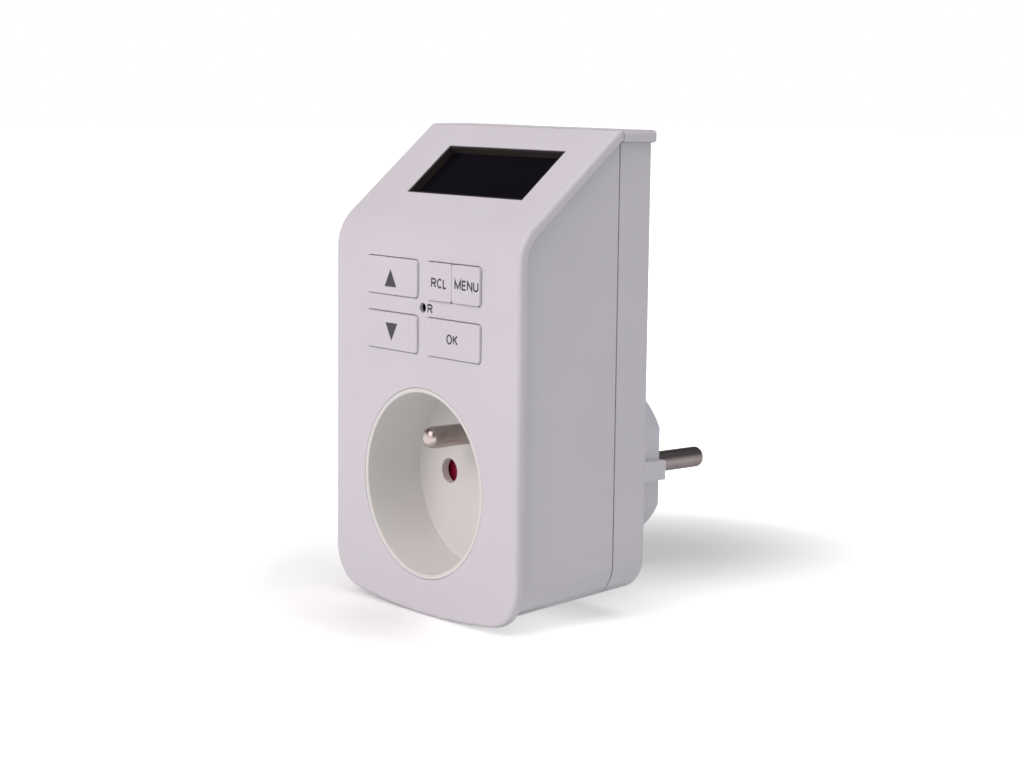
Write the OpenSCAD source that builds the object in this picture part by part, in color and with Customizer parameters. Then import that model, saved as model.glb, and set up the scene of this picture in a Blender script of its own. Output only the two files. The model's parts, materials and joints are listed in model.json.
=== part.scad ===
// Plug-in timer switch: a slanted housing with a display, five keys and an earthed socket
// in front, and a round hybrid plug behind. Millimetres, +Z up, the front looks along -Y.
// The origin is the middle of the plug's end face, on the line between the two pins.

/* [Case] */
// Width of the face, over its lip
face_w = 65; // [64:0.5:67]
// How far the lip stands out past the side walls
lip_over = 1.25; // [0.9:0.05:1.5]
// Thickness of the face panel and of its lip
panel_t = 2.4; // [2.2:0.1:2.6]
// Thickness of the side walls
wall_t = 2; // [1.6:0.1:2.2]
// Lowest point of the face, below the axis of the socket
face_drop = 29.2; // [28.8:0.1:30.5]
// Radius of the arch along the lower edge of the face
arch_r = 170; // [150:5:220]
// Radius of the lower corners of the face
corner_r = 9.4; // [8.5:0.1:10.5]
// Angle of the slanted panel above the horizontal
slant_angle = 40; // [39:0.5:41]
// Height at which face and slant would meet, before the bend is rounded
bend_z = 54.8; // [54.4:0.1:55.6]
// Radius of the bend between face and slant
bend_r = 10.5; // [9:0.5:12]
// Height of the roof
roof_z = 77.4; // [76.8:0.1:77.8]
// Radius between slant and roof
roof_r = 2; // [1.5:0.1:2.4]
// Depth of the front cover
front_d = 28.1; // [27.8:0.1:28.6]
// Depth of the rear cover
rear_d = 9.1; // [8.8:0.1:9.6]
// Thickness of the rear panel
rear_t = 2.2; // [2:0.1:2.4]
// Angle at which the underside rises towards the back
base_rise = 4.2; // [3.5:0.1:4.8]
// Open gap along the seam between the covers
seam_gap = 0.35; // [0.25:0.05:0.4]
// Thickness of the bead round the back of the roof
bead_t = 2.8; // [2.5:0.1:3]
// How far the bead stands out behind the rear panel
bead_over = 1.1; // [0.8:0.1:1.3]
// Radius along the edges of the bead
bead_r = 1.3; // [1:0.1:1.3]
// Thickness of the tongue that centres the covers
tongue_t = 0.9; // [0.7:0.1:1]
// Height of that tongue beyond the seam
tongue_h = 1.4; // [1:0.1:1.8]

/* [Case screws] */
// Distance of the upper screws from the middle
top_screw_x = 25.9; // [25.8:0.05:26.1]
// Height of the upper screws
top_screw_z = 70.5; // [70.2:0.1:71]
// Distance of the lower screws from the middle
low_screw_x = 22.5; // [22:0.1:23]
// Depth of the lower screws below the axis
low_screw_drop = 15.5; // [15:0.1:16]
// Outer radius of the screw posts
post_r = 2.8; // [2.7:0.05:2.85]
// Radius of the case screws' shanks
screw_r = 1.25; // [1.1:0.05:1.3]
// Radius of their heads
head_r = 2.2; // [2:0.05:2.25]
// Height of their heads
head_h = 1.8; // [1.6:0.1:2]
// Length of their shanks
screw_l = 10; // [8:0.5:10.5]
// Depth of the sunk seats behind the rear panel
sink_d = 4.2; // [3.8:0.1:4.6]

/* [Plug] */
// Length of the plug behind the rear panel
plug_len = 18.6; // [18.2:0.1:19]
// Radius of the plug
plug_r = 18.7; // [18.4:0.1:18.8]
// Height of the plug's middle above the pins
plug_lift = 0.65; // [0.4:0.05:0.8]
// Distance of the plug's flat flanks from the middle
flank_x = 16.5; // [16.3:0.05:16.8]
// How far the ribs reach from the middle
rib_x = 18.75; // [18.5:0.05:18.9]
// Width of the ribs
rib_w = 4.4; // [4:0.1:4.8]
// Thickness of the plug's end wall
end_t = 4; // [3.6:0.1:4.4]
// Radius of the space inside the plug
hollow_r = 15.2; // [15:0.1:15.4]
// Distance between the pins
pin_pitch = 19; // [19:0]
// Radius of every pin
pin_r = 2.4; // [2.4:0]
// Length of the plug's pins
pin_len = 19; // [18.5:0.1:19.5]
// Height of the earth contact above the pins
earth_z = 10; // [10:0]
// Radius of the pins' necks in the plug's end wall
pin_neck_r = 2.7; // [2.6:0.05:2.8]
// Radius of the earth hole in the plug
earth_hole_r = 2.7; // [2.6:0.05:2.8]
// Width of the earth clips along the top and bottom of the plug
clip_w = 9; // [8.5:0.1:9.4]
// Thickness of the earth clips
clip_t = 0.8; // [0.6:0.1:0.9]

/* [Socket] */
// Outer radius of the socket's rim
rim_r = 21; // [20.9:0.05:21.2]
// Radius of the recess
recess_r = 20; // [19.9:0.05:20.05]
// Depth of the recess
recess_d = 15; // [14.8:0.1:15.4]
// Radius in the corner of the recess's floor
cup_r = 0.3; // [0.2:0.1:0.6]
// Thickness of the recess's floor
floor_t = 2; // [1.8:0.1:2.2]
// Radius of the pin holes in the floor
hole_r = 2.8; // [2.7:0.05:2.9]
// How far the earth pin stands above the floor
earth_len = 14; // [13.8:0.1:14.4]
// Gap between the recess's floor and the safety shutter
shutter_gap = 0.8; // [0.6:0.1:0.9]
// Travel of the safety shutter
shutter_travel = 6.5; // [6.3:0.1:6.6]

/* [Keys] */
// Height of the upper row of keys, at its middle
upper_row_z = 44.7; // [44.5:0.1:45]
// Height of the lower row of keys, at its middle
lower_row_z = 32.6; // [32.4:0.1:32.8]
// Height of one key
key_h = 8.2; // [8:0.1:8.4]
// Width of a wide key
key_w = 18.6; // [18.2:0.1:18.8]
// Distance of the inner ends of the keys from the middle
key_in_x = 1.55; // [1.5:0.05:1.9]
// Width of the narrower key of the split pair
recall_w = 9.05; // [8.8:0.05:9.3]
// Gap between the two keys of the split pair
split_gap = 0.14; // [0.12:0.02:0.2]
// Radius of the corners of the keys
key_corner = 0.9; // [0.7:0.1:1.1]
// How far the keys stand proud of the face
key_proud = 0.6; // [0.5:0.05:0.7]
// Gap round the keys
key_gap = 0.18; // [0.14:0.02:0.22]
// Travel of the keys
key_travel = 0.4; // [0.3:0.05:0.45]
// Radius of the reset hole
reset_r = 1.1; // [0.9:0.05:1.2]
// Thickness of the panel round the reset hole
reset_web = 0.8; // [0.7:0.1:1.2]
// Width of the relief behind the reset hole
reset_relief_w = 6.4; // [5:0.2:7]

/* [Display] */
// Distance from the sides of the window to the sides of the face, on average
window_side = 12.5; // [12.2:0.1:13]
// Length of the window along the slant
window_l = 15.8; // [15.4:0.1:16.2]
// Distance of the window's middle to the right of the middle of the face
window_x = 1.75; // [1.5:0.05:2]
// Distance of the window's middle up the slant from the unrounded bend
window_u = 20.05; // [19.8:0.05:20.3]
// Thickness of the display frame's lining
lining_t = 0.5; // [0.4:0.05:0.6]
// Thickness of the lens round its edge
lens_t = 1; // [0.8:0.1:1.2]
// Depth of the lens's face below the slant
lens_sink = 1.8; // [1.5:0.1:2.2]
// Thickness of the liquid crystal panel
lcd_t = 2; // [1.8:0.1:2.2]
// Height of the rubber contact strips
strip_h = 1.8; // [1.6:0.1:2]

/* [Boards] */
// Thickness of the circuit boards
board_t = 1.2; // [1:0.1:1.4]
// Gap between the key flanges and the posts of the key board
key_post_gap = 0.5; // [0.4:0.1:0.8]
// Width of the power board
power_board_w = 50; // [48:0.5:52]
// Gap between the power board and the rear panel
power_gap = 3; // [2.8:0.1:3.2]
// Size of a push switch's square case
switch_w = 6; // [5.8:0.1:6.2]
// Depth of a push switch's case
switch_d = 3.4; // [3.2:0.1:3.6]

/* [Relay] */
// Width of the relay
relay_w = 12.6; // [12:0.2:13]
// Height of the relay
relay_h = 19; // [18.6:0.2:19.4]
// Depth of the relay from its board
relay_d = 15; // [14.8:0.1:15.2]
// Thickness of the relay's cover
relay_wall = 0.8; // [0.7:0.05:0.9]
// Angle through which the relay's armature swings
armature_swing = 4; // [3:0.5:5]

/* [Hidden] */
$fn = 96;

// clearances
slip = 0.1;        // between flat faces that pass each other
loose = 0.3;       // round anything that moves freely
snug = 0.05;       // round a part that is pushed home
eps = 0.01;        // overlap of solids that are joined
past = 8;          // how far a cutter runs past what it cuts

// the case, in depths behind the face
half_w = face_w / 2;
case_d = front_d + rear_d;
face_y = -plug_len - case_d;
inner_wall = lip_over + wall_t;
top_z = 2 * roof_z;
arch_mid_z = arch_r - face_drop;
corner_x = half_w - corner_r;
corner_z = arch_mid_z - sqrt(pow(arch_r - corner_r, 2) - pow(corner_x, 2));
corner_lean = asin(corner_x / (arch_r - corner_r));
big_fn = 360;

// the posts and sunk seats of the case screws
case_screw_spots = [
    [-top_screw_x, top_screw_z], [top_screw_x, top_screw_z],
    [-low_screw_x, -low_screw_drop], [low_screw_x, -low_screw_drop]
];
seat_d = case_d - sink_d;
bore_slip = 0.05;

// the plug, in Y
pin_x = pin_pitch / 2;
collar_r = 3.6;
collar_t = 1.6;
stub_r = 2;
stub_len = 6;
retainer_t = 2.4;
retainer_r = hollow_r - 0.6;
stub_end_y = -end_t - stub_len;
neck_flange_r = plug_r + plug_lift + 1.5;
neck_flange_t = 2;
plug_start_d = case_d - rear_t - neck_flange_t;
sleeve_wall = 0.75;
sleeve_r = pin_r + snug;
sleeve_len = 13.6;
clip_seat_z = plug_r - 1.45;
clip_start_y = -plug_len + 0.6;
clip_end_y = -2;
yoke_w = 8.4;
retainer_screw_z = -9.5;
retainer_screw_x = 4.5;
small_screw_r = 1.1;
small_head_r = 2;
small_head_h = 1.4;
pin_tip_r = 1.2;

// the socket, in depths behind the face
floor_back_d = recess_d + floor_t;
flange_r = rim_r + 3.4;
flange_d = panel_t + slip;
flange_t = 1.6;
stake_ring_r = rim_r + 1.7;
stake_r = 0.9;
stake_head_r = 1.5;
stake_head_t = 0.8;
shutter_t = 1.7;
shutter_d = floor_back_d + shutter_gap;
carrier_d = shutter_d + shutter_t + loose;
carrier_t = 2.2;
carrier_back_d = carrier_d + carrier_t;
carrier_top = 12;
carrier_low = -19;
wing_in_x = 5.4;
wing_out_x = 13.6;
shutter_top = 11.2;
shutter_low = -4;
shutter_window_r = 3.3;
rail_x = wing_out_x + loose;
rail_w = 1.6;
rail_top = 10;
rail_low = -11;
spring_top = shutter_low - slip;
spring_low = -17;
spring_r = 1.2;
spring_wire_r = 0.25;
spring_turns = 7;
ledge_t = 1.5;
carrier_screw_x = 17.6;
carrier_screw_edge = 1.4;
carrier_screw_l = 4.6;
carrier_w = 2 * (carrier_screw_x + carrier_screw_edge);
carrier_boss_r = 1.9;
tower_in = 4.2;
tower_wall = 1;
tower_end_d = plug_start_d - 0.5;
tower_notch_w = 2.6;
tower_notch_len = 4.2;
contact_wall = 0.65;
contact_start_d = carrier_back_d + 0.3;
contact_len = 10;
contact_slot = 0.9;
link_t = 0.8;
link_w = 4;
link_z = sleeve_r + contact_wall + 0.02;
earth_flange_r = 3.4;
earth_flange_t = 1.3;
earth_neck_r = 2.1;
earth_stem_r = 1.9;
earth_stem_end_d = carrier_back_d + 1.6;
strap_w = 4.6;
strap_t = 1;
strap_tab = 2.4;
strap_end_y = -end_t - slip - sleeve_len;
wire_r = 0.9;
elbow_r = wire_r + 0.12;

// the keys, in depths behind the face
key_left_x = -key_in_x - key_w / 2;
key_right_x = key_in_x + key_w / 2;
recall_x = key_in_x + recall_w / 2;
menu_w = key_w - recall_w - split_gap;
menu_x = key_in_x + key_w - menu_w / 2;
reset_z = (upper_row_z + lower_row_z) / 2;
key_back_d = panel_t + slip;
key_flange_t = 0.8;
key_flange_over = 0.7;
plunger_r = 1.5;
reset_plunger_r = 0.9;
reset_relief_h = 2 * reset_r + 0.5;
plunger_d = key_back_d + key_flange_t;
switch_front_d = plunger_d + key_travel + 0.6;
switch_back_d = switch_front_d + switch_d;
plunger_end_d = switch_front_d + 1.2;
switch_well = 1.2 + key_travel + 0.6;
reset_switch_w = 3.2;
switch_spots = [
    [key_left_x, upper_row_z], [key_left_x, lower_row_z], [recall_x, upper_row_z],
    [menu_x, upper_row_z], [key_right_x, lower_row_z], [0, reset_z]
];
key_board_low = lower_row_z - key_h / 2 - 1.2;
key_board_top = upper_row_z + key_h / 2 + 3.2;
key_board_back_d = switch_back_d + board_t;
key_post_r = 2.2;
key_screw_edge = 2.4;
key_screw_x = key_in_x + key_w + key_flange_over + key_post_gap + key_post_r;
key_board_w = 2 * (key_screw_x + key_screw_edge);
key_screw_spots = [
    [-key_screw_x, key_board_low + key_screw_edge], [key_screw_x, key_board_low + key_screw_edge],
    [-key_screw_x, key_board_top - key_screw_edge], [key_screw_x, key_board_top - key_screw_edge]
];
board_screw_l = 4.5;
cell_r = 5.6;
cell_t = 4.6;
cell_x = 12;
cell_z = reset_z;

// the display, in depths below the slant
window_w = face_w - 2 * window_side;
frame_rim_h = 0.15;
frame_flange_h = panel_t + slip;
frame_side = 1.2;
frame_end = 2.6;
frame_wall = 1.1;
frame_web = 0.8;
lens_side = frame_side - frame_wall - slip;
lens_end = frame_end - frame_wall - slip;
lens_h = frame_flange_h + frame_web;
lcd_h = lens_h + lens_t + slip;
strip_top_h = lcd_h + lcd_t;
display_board_h = strip_top_h + strip_h;
frame_back_h = display_board_h;
lining_w = window_w - 2 * (snug + lining_t);
lining_l = window_l - 2 * (snug + lining_t);
strip_w = 1.6;
display_board_w = window_w + 2 * frame_side;
display_board_l = window_l + 2 * frame_end;
display_post_r = 1.8;
display_screw_x = display_board_w / 2 + display_post_r + 0.2;
display_ear_l = 6;
chip_w = 9;
chip_t = 1.2;

// the power board and what stands on it
power_back_d = case_d - rear_t - power_gap;
power_board_d = power_back_d - board_t;
power_screw_edge = 2.6;
part_gap = 1;
power_low = 24;
power_top = 62.5;
power_post_r = 2.4;
power_screw_x = power_board_w / 2 - power_screw_edge;
power_screw_spots = [
    [-power_screw_x, power_low + power_screw_edge], [power_screw_x, power_low + power_screw_edge],
    [-power_screw_x, power_top - power_screw_edge], [power_screw_x, power_top - power_screw_edge]
];
riser_x = 13;
riser_y = face_y + plug_start_d - wire_r - 0.7;
board_wire_y = face_y + power_back_d + elbow_r + 0.05;
front_wire_y = face_y + power_board_d - elbow_r - 0.25;
relay_x = -12;
relay_low = power_low + 6;
relay_front_d = power_board_d - relay_d;
relay_base_t = 1.6;
coil_r = 3.6;
coil_core_r = 1.5;
coil_len = 9;
core_over = 0.6;
coil_z = relay_low + 6.8;
yoke_t = 1.2;
yoke_iron_w = 8;
yoke_gap = 1;
yoke_z = coil_z + coil_r + yoke_gap;
yoke_front_d = power_board_d - relay_base_t - coil_len - core_over;
armature_t = 1;
armature_gap = 0.1;
varistor_r = 4.6;
varistor_t = 3;
varistor_x = -8;
varistor_z = relay_low + relay_h + part_gap + varistor_t / 2;
varistor_rise = 1;
lead_x = 2.5;
lead_r = 0.4;
fuse_r = 2.4;
fuse_len = 20;
fuse_cap = 4.4;
fuse_x = 0;
fuse_z = varistor_z + varistor_t / 2 + part_gap + fuse_r;
can_r = 4;
can_len = 8;
can_x = 12;
can_z = fuse_z - fuse_r - part_gap - can_r;
film_w = 17;
film_h = 7.4;
film_d = 12;
film_x = 11;
film_z = can_z - can_r - part_gap - film_h / 2;

// --- placing helpers ---

// children drawn in X and Z become a slab between two depths behind the face
module slab(depth, thick) {
    translate([0, face_y + depth + thick, 0])
        rotate([90, 0, 0])
            linear_extrude(thick)
                children();
}

// children drawn in depth and Z become a block across the case
module across(width) {
    translate([-width / 2, face_y, 0])
        rotate([90, 0, 90])
            linear_extrude(width)
                children();
}

// local X and Y lie in the slanted surface, Y runs up it, Z stands out of it
module on_slant() {
    translate([0, face_y, bend_z])
        rotate([slant_angle, 0, 0])
            children();
}

// children drawn in the slanted surface become a slab below it
module slant_slab(below, thick) {
    on_slant()
        translate([window_x, window_u, -below - thick])
            linear_extrude(thick)
                children();
}

// a cylinder along Y between two depths
module rod(spot, radius, depth, length) {
    translate([spot[0], face_y + depth, spot[1]])
        rotate([-90, 0, 0])
            cylinder(r = radius, h = length);
}

module rounded_rect(width, height, radius) {
    square([width, height - 2 * radius], center = true);
    square([width - 2 * radius, height], center = true);
    for (x = [-1, 1], y = [-1, 1])
        translate([x * (width / 2 - radius), y * (height / 2 - radius)])
            circle(radius);
}

// --- the shape of the case ---

// the face seen from the front: straight sides, round lower corners and an arched edge
module case_outline(inset) {
    half = half_w - inset;
    radius = corner_r - inset;
    reach = radius + past;
    lean = [sin(corner_lean), -cos(corner_lean)];
    translate([-half, corner_z])
        square([2 * half, top_z - corner_z]);
    for (side = [-1, 1])
        translate([side * corner_x, corner_z])
            circle(radius);
    intersection() {
        translate([0, arch_mid_z])
            circle(arch_r - inset, $fn = big_fn);
        polygon([
            [-corner_x, corner_z], [corner_x, corner_z],
            [corner_x + reach * lean[0], corner_z + reach * lean[1]],
            [-corner_x - reach * lean[0], corner_z + reach * lean[1]]
        ]);
    }
}

// the case seen from the side, in depth and height, set in by a wall
module case_profile(inset, depth) {
    bend_in = bend_r - inset;
    roof_in = max(roof_r - inset, eps);
    bend_t = bend_in * tan((90 - slant_angle) / 2);
    roof_t = roof_in * tan(slant_angle / 2);
    low_z = bend_z - inset * tan((90 - slant_angle) / 2);
    high_z = roof_z - inset;
    high_d = inset + (high_z - low_z) / tan(slant_angle);
    polygon([
        [inset, -top_z], [inset, low_z - bend_t],
        [inset + bend_t * cos(slant_angle), low_z + bend_t * sin(slant_angle)],
        [high_d - roof_t * cos(slant_angle), high_z - roof_t * sin(slant_angle)],
        [high_d + roof_t, high_z], [depth, high_z], [depth, -top_z]
    ]);
    translate([inset + bend_in, low_z - bend_t])
        circle(bend_in);
    if (roof_r > inset)
        intersection() {
            translate([high_d + roof_t, high_z - roof_in])
                circle(roof_in);
            square([depth, top_z]);
        }
}

// the outline swept back along the rising underside
module case_sweep(inset) {
    translate([0, face_y, -face_drop])
        rotate([base_rise, 0, 0])
            translate([0, 2 * case_d, face_drop])
                rotate([90, 0, 0])
                    linear_extrude(3 * case_d)
                        case_outline(inset);
}

// --- front cover ---

module key_opening(x, z, width) {
    translate([x, z])
        rounded_rect(width + 2 * key_gap, key_h + 2 * key_gap, key_corner + key_gap);
}

module face_openings() {
    slab(-past, past + panel_t + past / 4) {
        circle(rim_r + slip);
        key_opening(key_left_x, upper_row_z, key_w);
        key_opening(key_left_x, lower_row_z, key_w);
        key_opening(key_right_x, upper_row_z, key_w);
        key_opening(key_right_x, lower_row_z, key_w);
        translate([0, reset_z])
            circle(reset_r);
    }
    slab(reset_web, panel_t)
        translate([0, reset_z])
            square([reset_relief_w, reset_relief_h], center = true);
    slant_slab(-past, past + panel_t + past / 4)
        square([window_w, window_l], center = true);
}

module key_posts() {
    for (spot = key_screw_spots)
        rod(spot, key_post_r, panel_t - eps, switch_back_d - panel_t + eps);
}

module display_posts() {
    for (side = [-1, 1])
        on_slant()
            translate([window_x + side * display_screw_x, window_u, -display_board_h])
                cylinder(r = display_post_r, h = display_board_h - panel_t + eps);
}

module socket_stakes() {
    for (turn = [45 : 90 : 315])
        rotate([0, turn, 0])
            union() {
                rod([stake_ring_r, 0], stake_r, panel_t - eps, flange_t + slip + 2 * eps);
                rod([stake_ring_r, 0], stake_head_r, flange_d + flange_t, stake_head_t);
            }
}

module front_cover() {
    color("gainsboro")
    difference() {
        union() {
            difference() {
                union() {
                    intersection() {
                        slab(0, front_d)
                            case_outline(0);
                        across(face_w)
                            difference() {
                                case_profile(0, front_d);
                                case_profile(panel_t, case_d);
                            }
                    }
                    intersection() {
                        case_sweep(lip_over);
                        across(face_w)
                            case_profile(panel_t / 2, front_d);
                    }
                }
                intersection() {
                    case_sweep(inner_wall);
                    across(face_w)
                        case_profile(panel_t, case_d + past);
                }
                face_openings();
            }
            intersection() {
                for (spot = case_screw_spots)
                    rod(spot, post_r, panel_t - eps, front_d - panel_t + eps);
                across(face_w)
                    case_profile(panel_t - eps, case_d);
            }
            key_posts();
            display_posts();
            socket_stakes();
        }
        for (spot = case_screw_spots)
            rod(spot, screw_r + bore_slip, seat_d - screw_l - 1, screw_l + past);
        for (spot = key_screw_spots)
            rod(spot, small_screw_r + bore_slip, panel_t + 1, switch_back_d);
        for (side = [-1, 1])
            on_slant()
                translate([window_x + side * display_screw_x, window_u, -display_board_h - 1])
                    cylinder(r = small_screw_r + bore_slip, h = board_screw_l);
    }
}

// --- rear cover ---

module plug_outline(grow) {
    intersection() {
        translate([0, plug_lift])
            circle(plug_r + grow);
        square([2 * (flank_x + grow), 4 * plug_r], center = true);
    }
    square([2 * (rib_x + grow), rib_w + 2 * grow], center = true);
}

// the rounded bead round the back of the roof
module roof_bead() {
    length = rear_d - seam_gap + bead_over;
    start_d = front_d + seam_gap;
    intersection() {
        across(face_w)
            translate([start_d, roof_z - bead_t]) {
                translate([length / 2 - past / 2, bead_t / 2])
                    rounded_rect(length + past, bead_t, bead_r);
            }
        slab(start_d, length)
            translate([0, roof_z - bead_t / 2])
                rounded_rect(face_w, bead_t, bead_r);
        translate([0, face_y + start_d + length / 2 - past / 2, 0])
            linear_extrude(top_z)
                rounded_rect(face_w, length + past, bead_r);
    }
}

module rear_cover() {
    start_d = front_d + seam_gap;
    color("gainsboro")
    difference() {
        union() {
            difference() {
                intersection() {
                    case_sweep(lip_over);
                    across(face_w)
                        translate([start_d, -top_z])
                            square([case_d - start_d, top_z + roof_z - bead_t / 2]);
                }
                intersection() {
                    case_sweep(inner_wall);
                    across(face_w)
                        translate([0, -top_z])
                            square([case_d - rear_t, top_z + roof_z - panel_t]);
                }
            }
            roof_bead();
            difference() {
                intersection() {
                    case_sweep(inner_wall - eps);
                    across(face_w)
                        intersection() {
                            translate([front_d - tongue_h, -top_z])
                                square([tongue_h + 2 + eps, 2 * top_z]);
                            case_profile(panel_t + slip, case_d);
                        }
                    difference() {
                        case_sweep(inner_wall + slip);
                        case_sweep(inner_wall + slip + tongue_t);
                    }
                }
                for (spot = case_screw_spots)
                    rod(spot, post_r + slip, front_d - tongue_h - 1, tongue_h + 1);
            }
            intersection() {
                case_sweep(inner_wall - eps);
                across(face_w)
                    translate([front_d + seam_gap, -top_z])
                        square([2, top_z + roof_z - panel_t]);
                difference() {
                    case_sweep(inner_wall - 2 * eps);
                    case_sweep(inner_wall + slip + tongue_t);
                }
            }
            for (spot = case_screw_spots)
                rod(spot, post_r, front_d, rear_d - eps);
            for (spot = power_screw_spots)
                rod(spot, power_post_r, power_back_d, case_d - power_back_d - eps);
        }
        slab(plug_start_d, past + case_d - plug_start_d)
            plug_outline(snug);
        for (spot = case_screw_spots) {
            rod(spot, screw_r + bore_slip, 0, case_d);
            rod(spot, head_r + slip, seat_d, past);
        }
        for (spot = power_screw_spots)
            rod(spot, small_screw_r + bore_slip, power_back_d - 1, board_screw_l);
    }
}

module screw(spot, radius, head, head_height, length, under_d) {
    difference() {
        union() {
            rod(spot, radius, under_d - length, length + eps);
            rod(spot, head, under_d, head_height);
        }
        for (turn = [0, 90])
            translate([spot[0], face_y + under_d + head_height, spot[1]])
                rotate([0, turn, 0])
                    cube([head * 1.1, head_height, head * 0.28], center = true);
    }
}

module case_screws() {
    color("silver")
    for (spot = case_screw_spots)
        screw(spot, screw_r, head_r, head_h, screw_l, seat_d);
}

// --- plug ---

module plug_slab(start_y, length) {
    translate([0, start_y + length, 0])
        rotate([90, 0, 0])
            linear_extrude(length)
                children();
}

module plug_body() {
    color("gainsboro")
    difference() {
        union() {
            slab(case_d - rear_t - eps, rear_t + plug_len + eps)
                plug_outline(0);
            slab(plug_start_d, neck_flange_t)
                circle(neck_flange_r);
            plug_slab(-end_t - collar_t - slip, collar_t + slip + eps)
                for (side = [-1, 1])
                    translate([side * retainer_screw_x, retainer_screw_z])
                        circle(small_head_r);
        }
        difference() {
            slab(plug_start_d - 1, case_d - plug_start_d + 1 + plug_len - end_t)
                intersection() {
                    circle(hollow_r);
                    square([2 * (flank_x - 1.9), 4 * plug_r], center = true);
                }
            plug_slab(-end_t - collar_t - slip, end_t)
                for (side = [-1, 1])
                    translate([side * retainer_screw_x, retainer_screw_z])
                        circle(small_head_r);
        }
        plug_slab(-end_t - 1, end_t + past) {
            for (side = [-1, 1])
                translate([side * pin_x, 0])
                    circle(pin_neck_r + snug / 2);
            translate([0, earth_z])
                circle(earth_hole_r);
        }
        for (side = [-1, 1]) {
            translate([0, (clip_start_y + clip_end_y) / 2, plug_lift + side * (clip_seat_z + past / 2)])
                cube([clip_w + 0.4, clip_end_y - clip_start_y + 0.4, past], center = true);
            translate([0, clip_start_y + clip_t / 2, plug_lift + side * clip_seat_z])
                cube([yoke_w + 0.4, clip_t + 0.2, past], center = true);
        }
        plug_slab(-end_t - collar_t - 1, collar_t + 3)
            for (side = [-1, 1])
                translate([side * retainer_screw_x, retainer_screw_z])
                    circle(small_screw_r + bore_slip);
    }
}

module plug_retainer() {
    color("dimgray")
    difference() {
        plug_slab(-end_t - collar_t - slip - retainer_t, retainer_t)
            intersection() {
                circle(retainer_r);
                square([2 * (flank_x - 2.4), 4 * plug_r], center = true);
            }
        plug_slab(-end_t - collar_t - retainer_t - 1, retainer_t + 2) {
            for (side = [-1, 1]) {
                translate([side * pin_x, 0])
                    circle(stub_r + slip);
                translate([side * retainer_screw_x, retainer_screw_z])
                    circle(small_screw_r + slip);
            }
            translate([0, earth_z])
                circle(sleeve_r + sleeve_wall + slip);
        }
    }
}

module retainer_screws() {
    under = -end_t - collar_t - slip - retainer_t;
    color("silver")
    for (side = [-1, 1])
        translate([side * retainer_screw_x, under, retainer_screw_z])
            rotate([-90, 0, 0])
                difference() {
                    union() {
                        cylinder(r = small_screw_r, h = retainer_t + 2);
                        translate([0, 0, -small_head_h])
                            cylinder(r = small_head_r - 0.2, h = small_head_h);
                    }
                    translate([0, 0, -small_head_h])
                        cube([small_head_r * 1.2, 0.5, 1], center = true);
                }
}

// half section of a pin: a collar behind the wall, a shank and a rounded tip
module plug_pin(side) {
    color("lightslategray")
    translate([side * pin_x, 0, 0])
        rotate([-90, 0, 0])
            rotate_extrude()
                union() {
                    translate([0, stub_end_y])
                        square([stub_r, stub_len - collar_t + eps]);
                    translate([0, -end_t - collar_t])
                        square([collar_r, collar_t]);
                    translate([0, -end_t - eps])
                        square([pin_neck_r, end_t + eps]);
                    translate([0, -eps])
                        square([pin_r, eps + pin_len - pin_tip_r]);
                    translate([0, pin_len - pin_tip_r - eps])
                        square([pin_r - pin_tip_r, pin_tip_r + eps]);
                    intersection() {
                        translate([pin_r - pin_tip_r, pin_len - pin_tip_r])
                            circle(pin_tip_r);
                        translate([0, pin_len - pin_tip_r])
                            square(pin_r);
                    }
                }
}

module live_pin() {
    plug_pin(1);
}

module neutral_pin() {
    plug_pin(-1);
}

module earth_sleeve() {
    color("goldenrod")
    difference() {
        plug_slab(strap_end_y, sleeve_len)
            translate([0, earth_z])
                circle(sleeve_r + sleeve_wall);
        plug_slab(strap_end_y + 1, sleeve_len)
            translate([0, earth_z])
                circle(sleeve_r);
        translate([0, -end_t - slip, earth_z])
            cube([contact_slot, 2 * sleeve_len - 8, 4 * sleeve_r], center = true);
    }
}

// one bent strip: an arm above and below the plug, and a yoke through its inside
module earth_clip() {
    reach = clip_seat_z + clip_t + slip / 2;
    color("silver")
    difference() {
        union() {
            for (side = [-1, 1])
                translate([-clip_w / 2, clip_start_y, plug_lift - clip_t / 2])
                    translate([0, 0, side * (clip_seat_z + slip / 2 + clip_t / 2)])
                        cube([clip_w, clip_end_y - clip_start_y, clip_t]);
            translate([-yoke_w / 2, clip_start_y, plug_lift - reach])
                cube([yoke_w, clip_t, 2 * reach]);
        }
        translate([0, clip_start_y - 1, earth_z])
            rotate([-90, 0, 0])
                cylinder(r = sleeve_r + sleeve_wall + snug, h = clip_t + 2);
    }
}

module earth_strap() {
    start_y = face_y + earth_stem_end_d;
    color("goldenrod")
    translate([-strap_w / 2, start_y, 0])
        union() {
            translate([0, 0, earth_z - strap_t / 2])
                cube([strap_w, strap_end_y - start_y, strap_t]);
            for (at = [0, strap_end_y - start_y - strap_t])
                translate([0, at, earth_z - strap_tab])
                    cube([strap_w, strap_t, 2 * strap_tab]);
        }
}

// --- socket ---

module socket_section() {
    difference() {
        union() {
            square([rim_r, floor_back_d]);
            translate([0, flange_d])
                square([flange_r, flange_t]);
        }
        translate([0, -1])
            square([recess_r, recess_d + 1 - cup_r]);
        translate([0, recess_d - cup_r - eps])
            square([recess_r - cup_r, cup_r + eps]);
        translate([recess_r - cup_r, recess_d - cup_r])
            circle(cup_r);
    }
}

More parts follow.
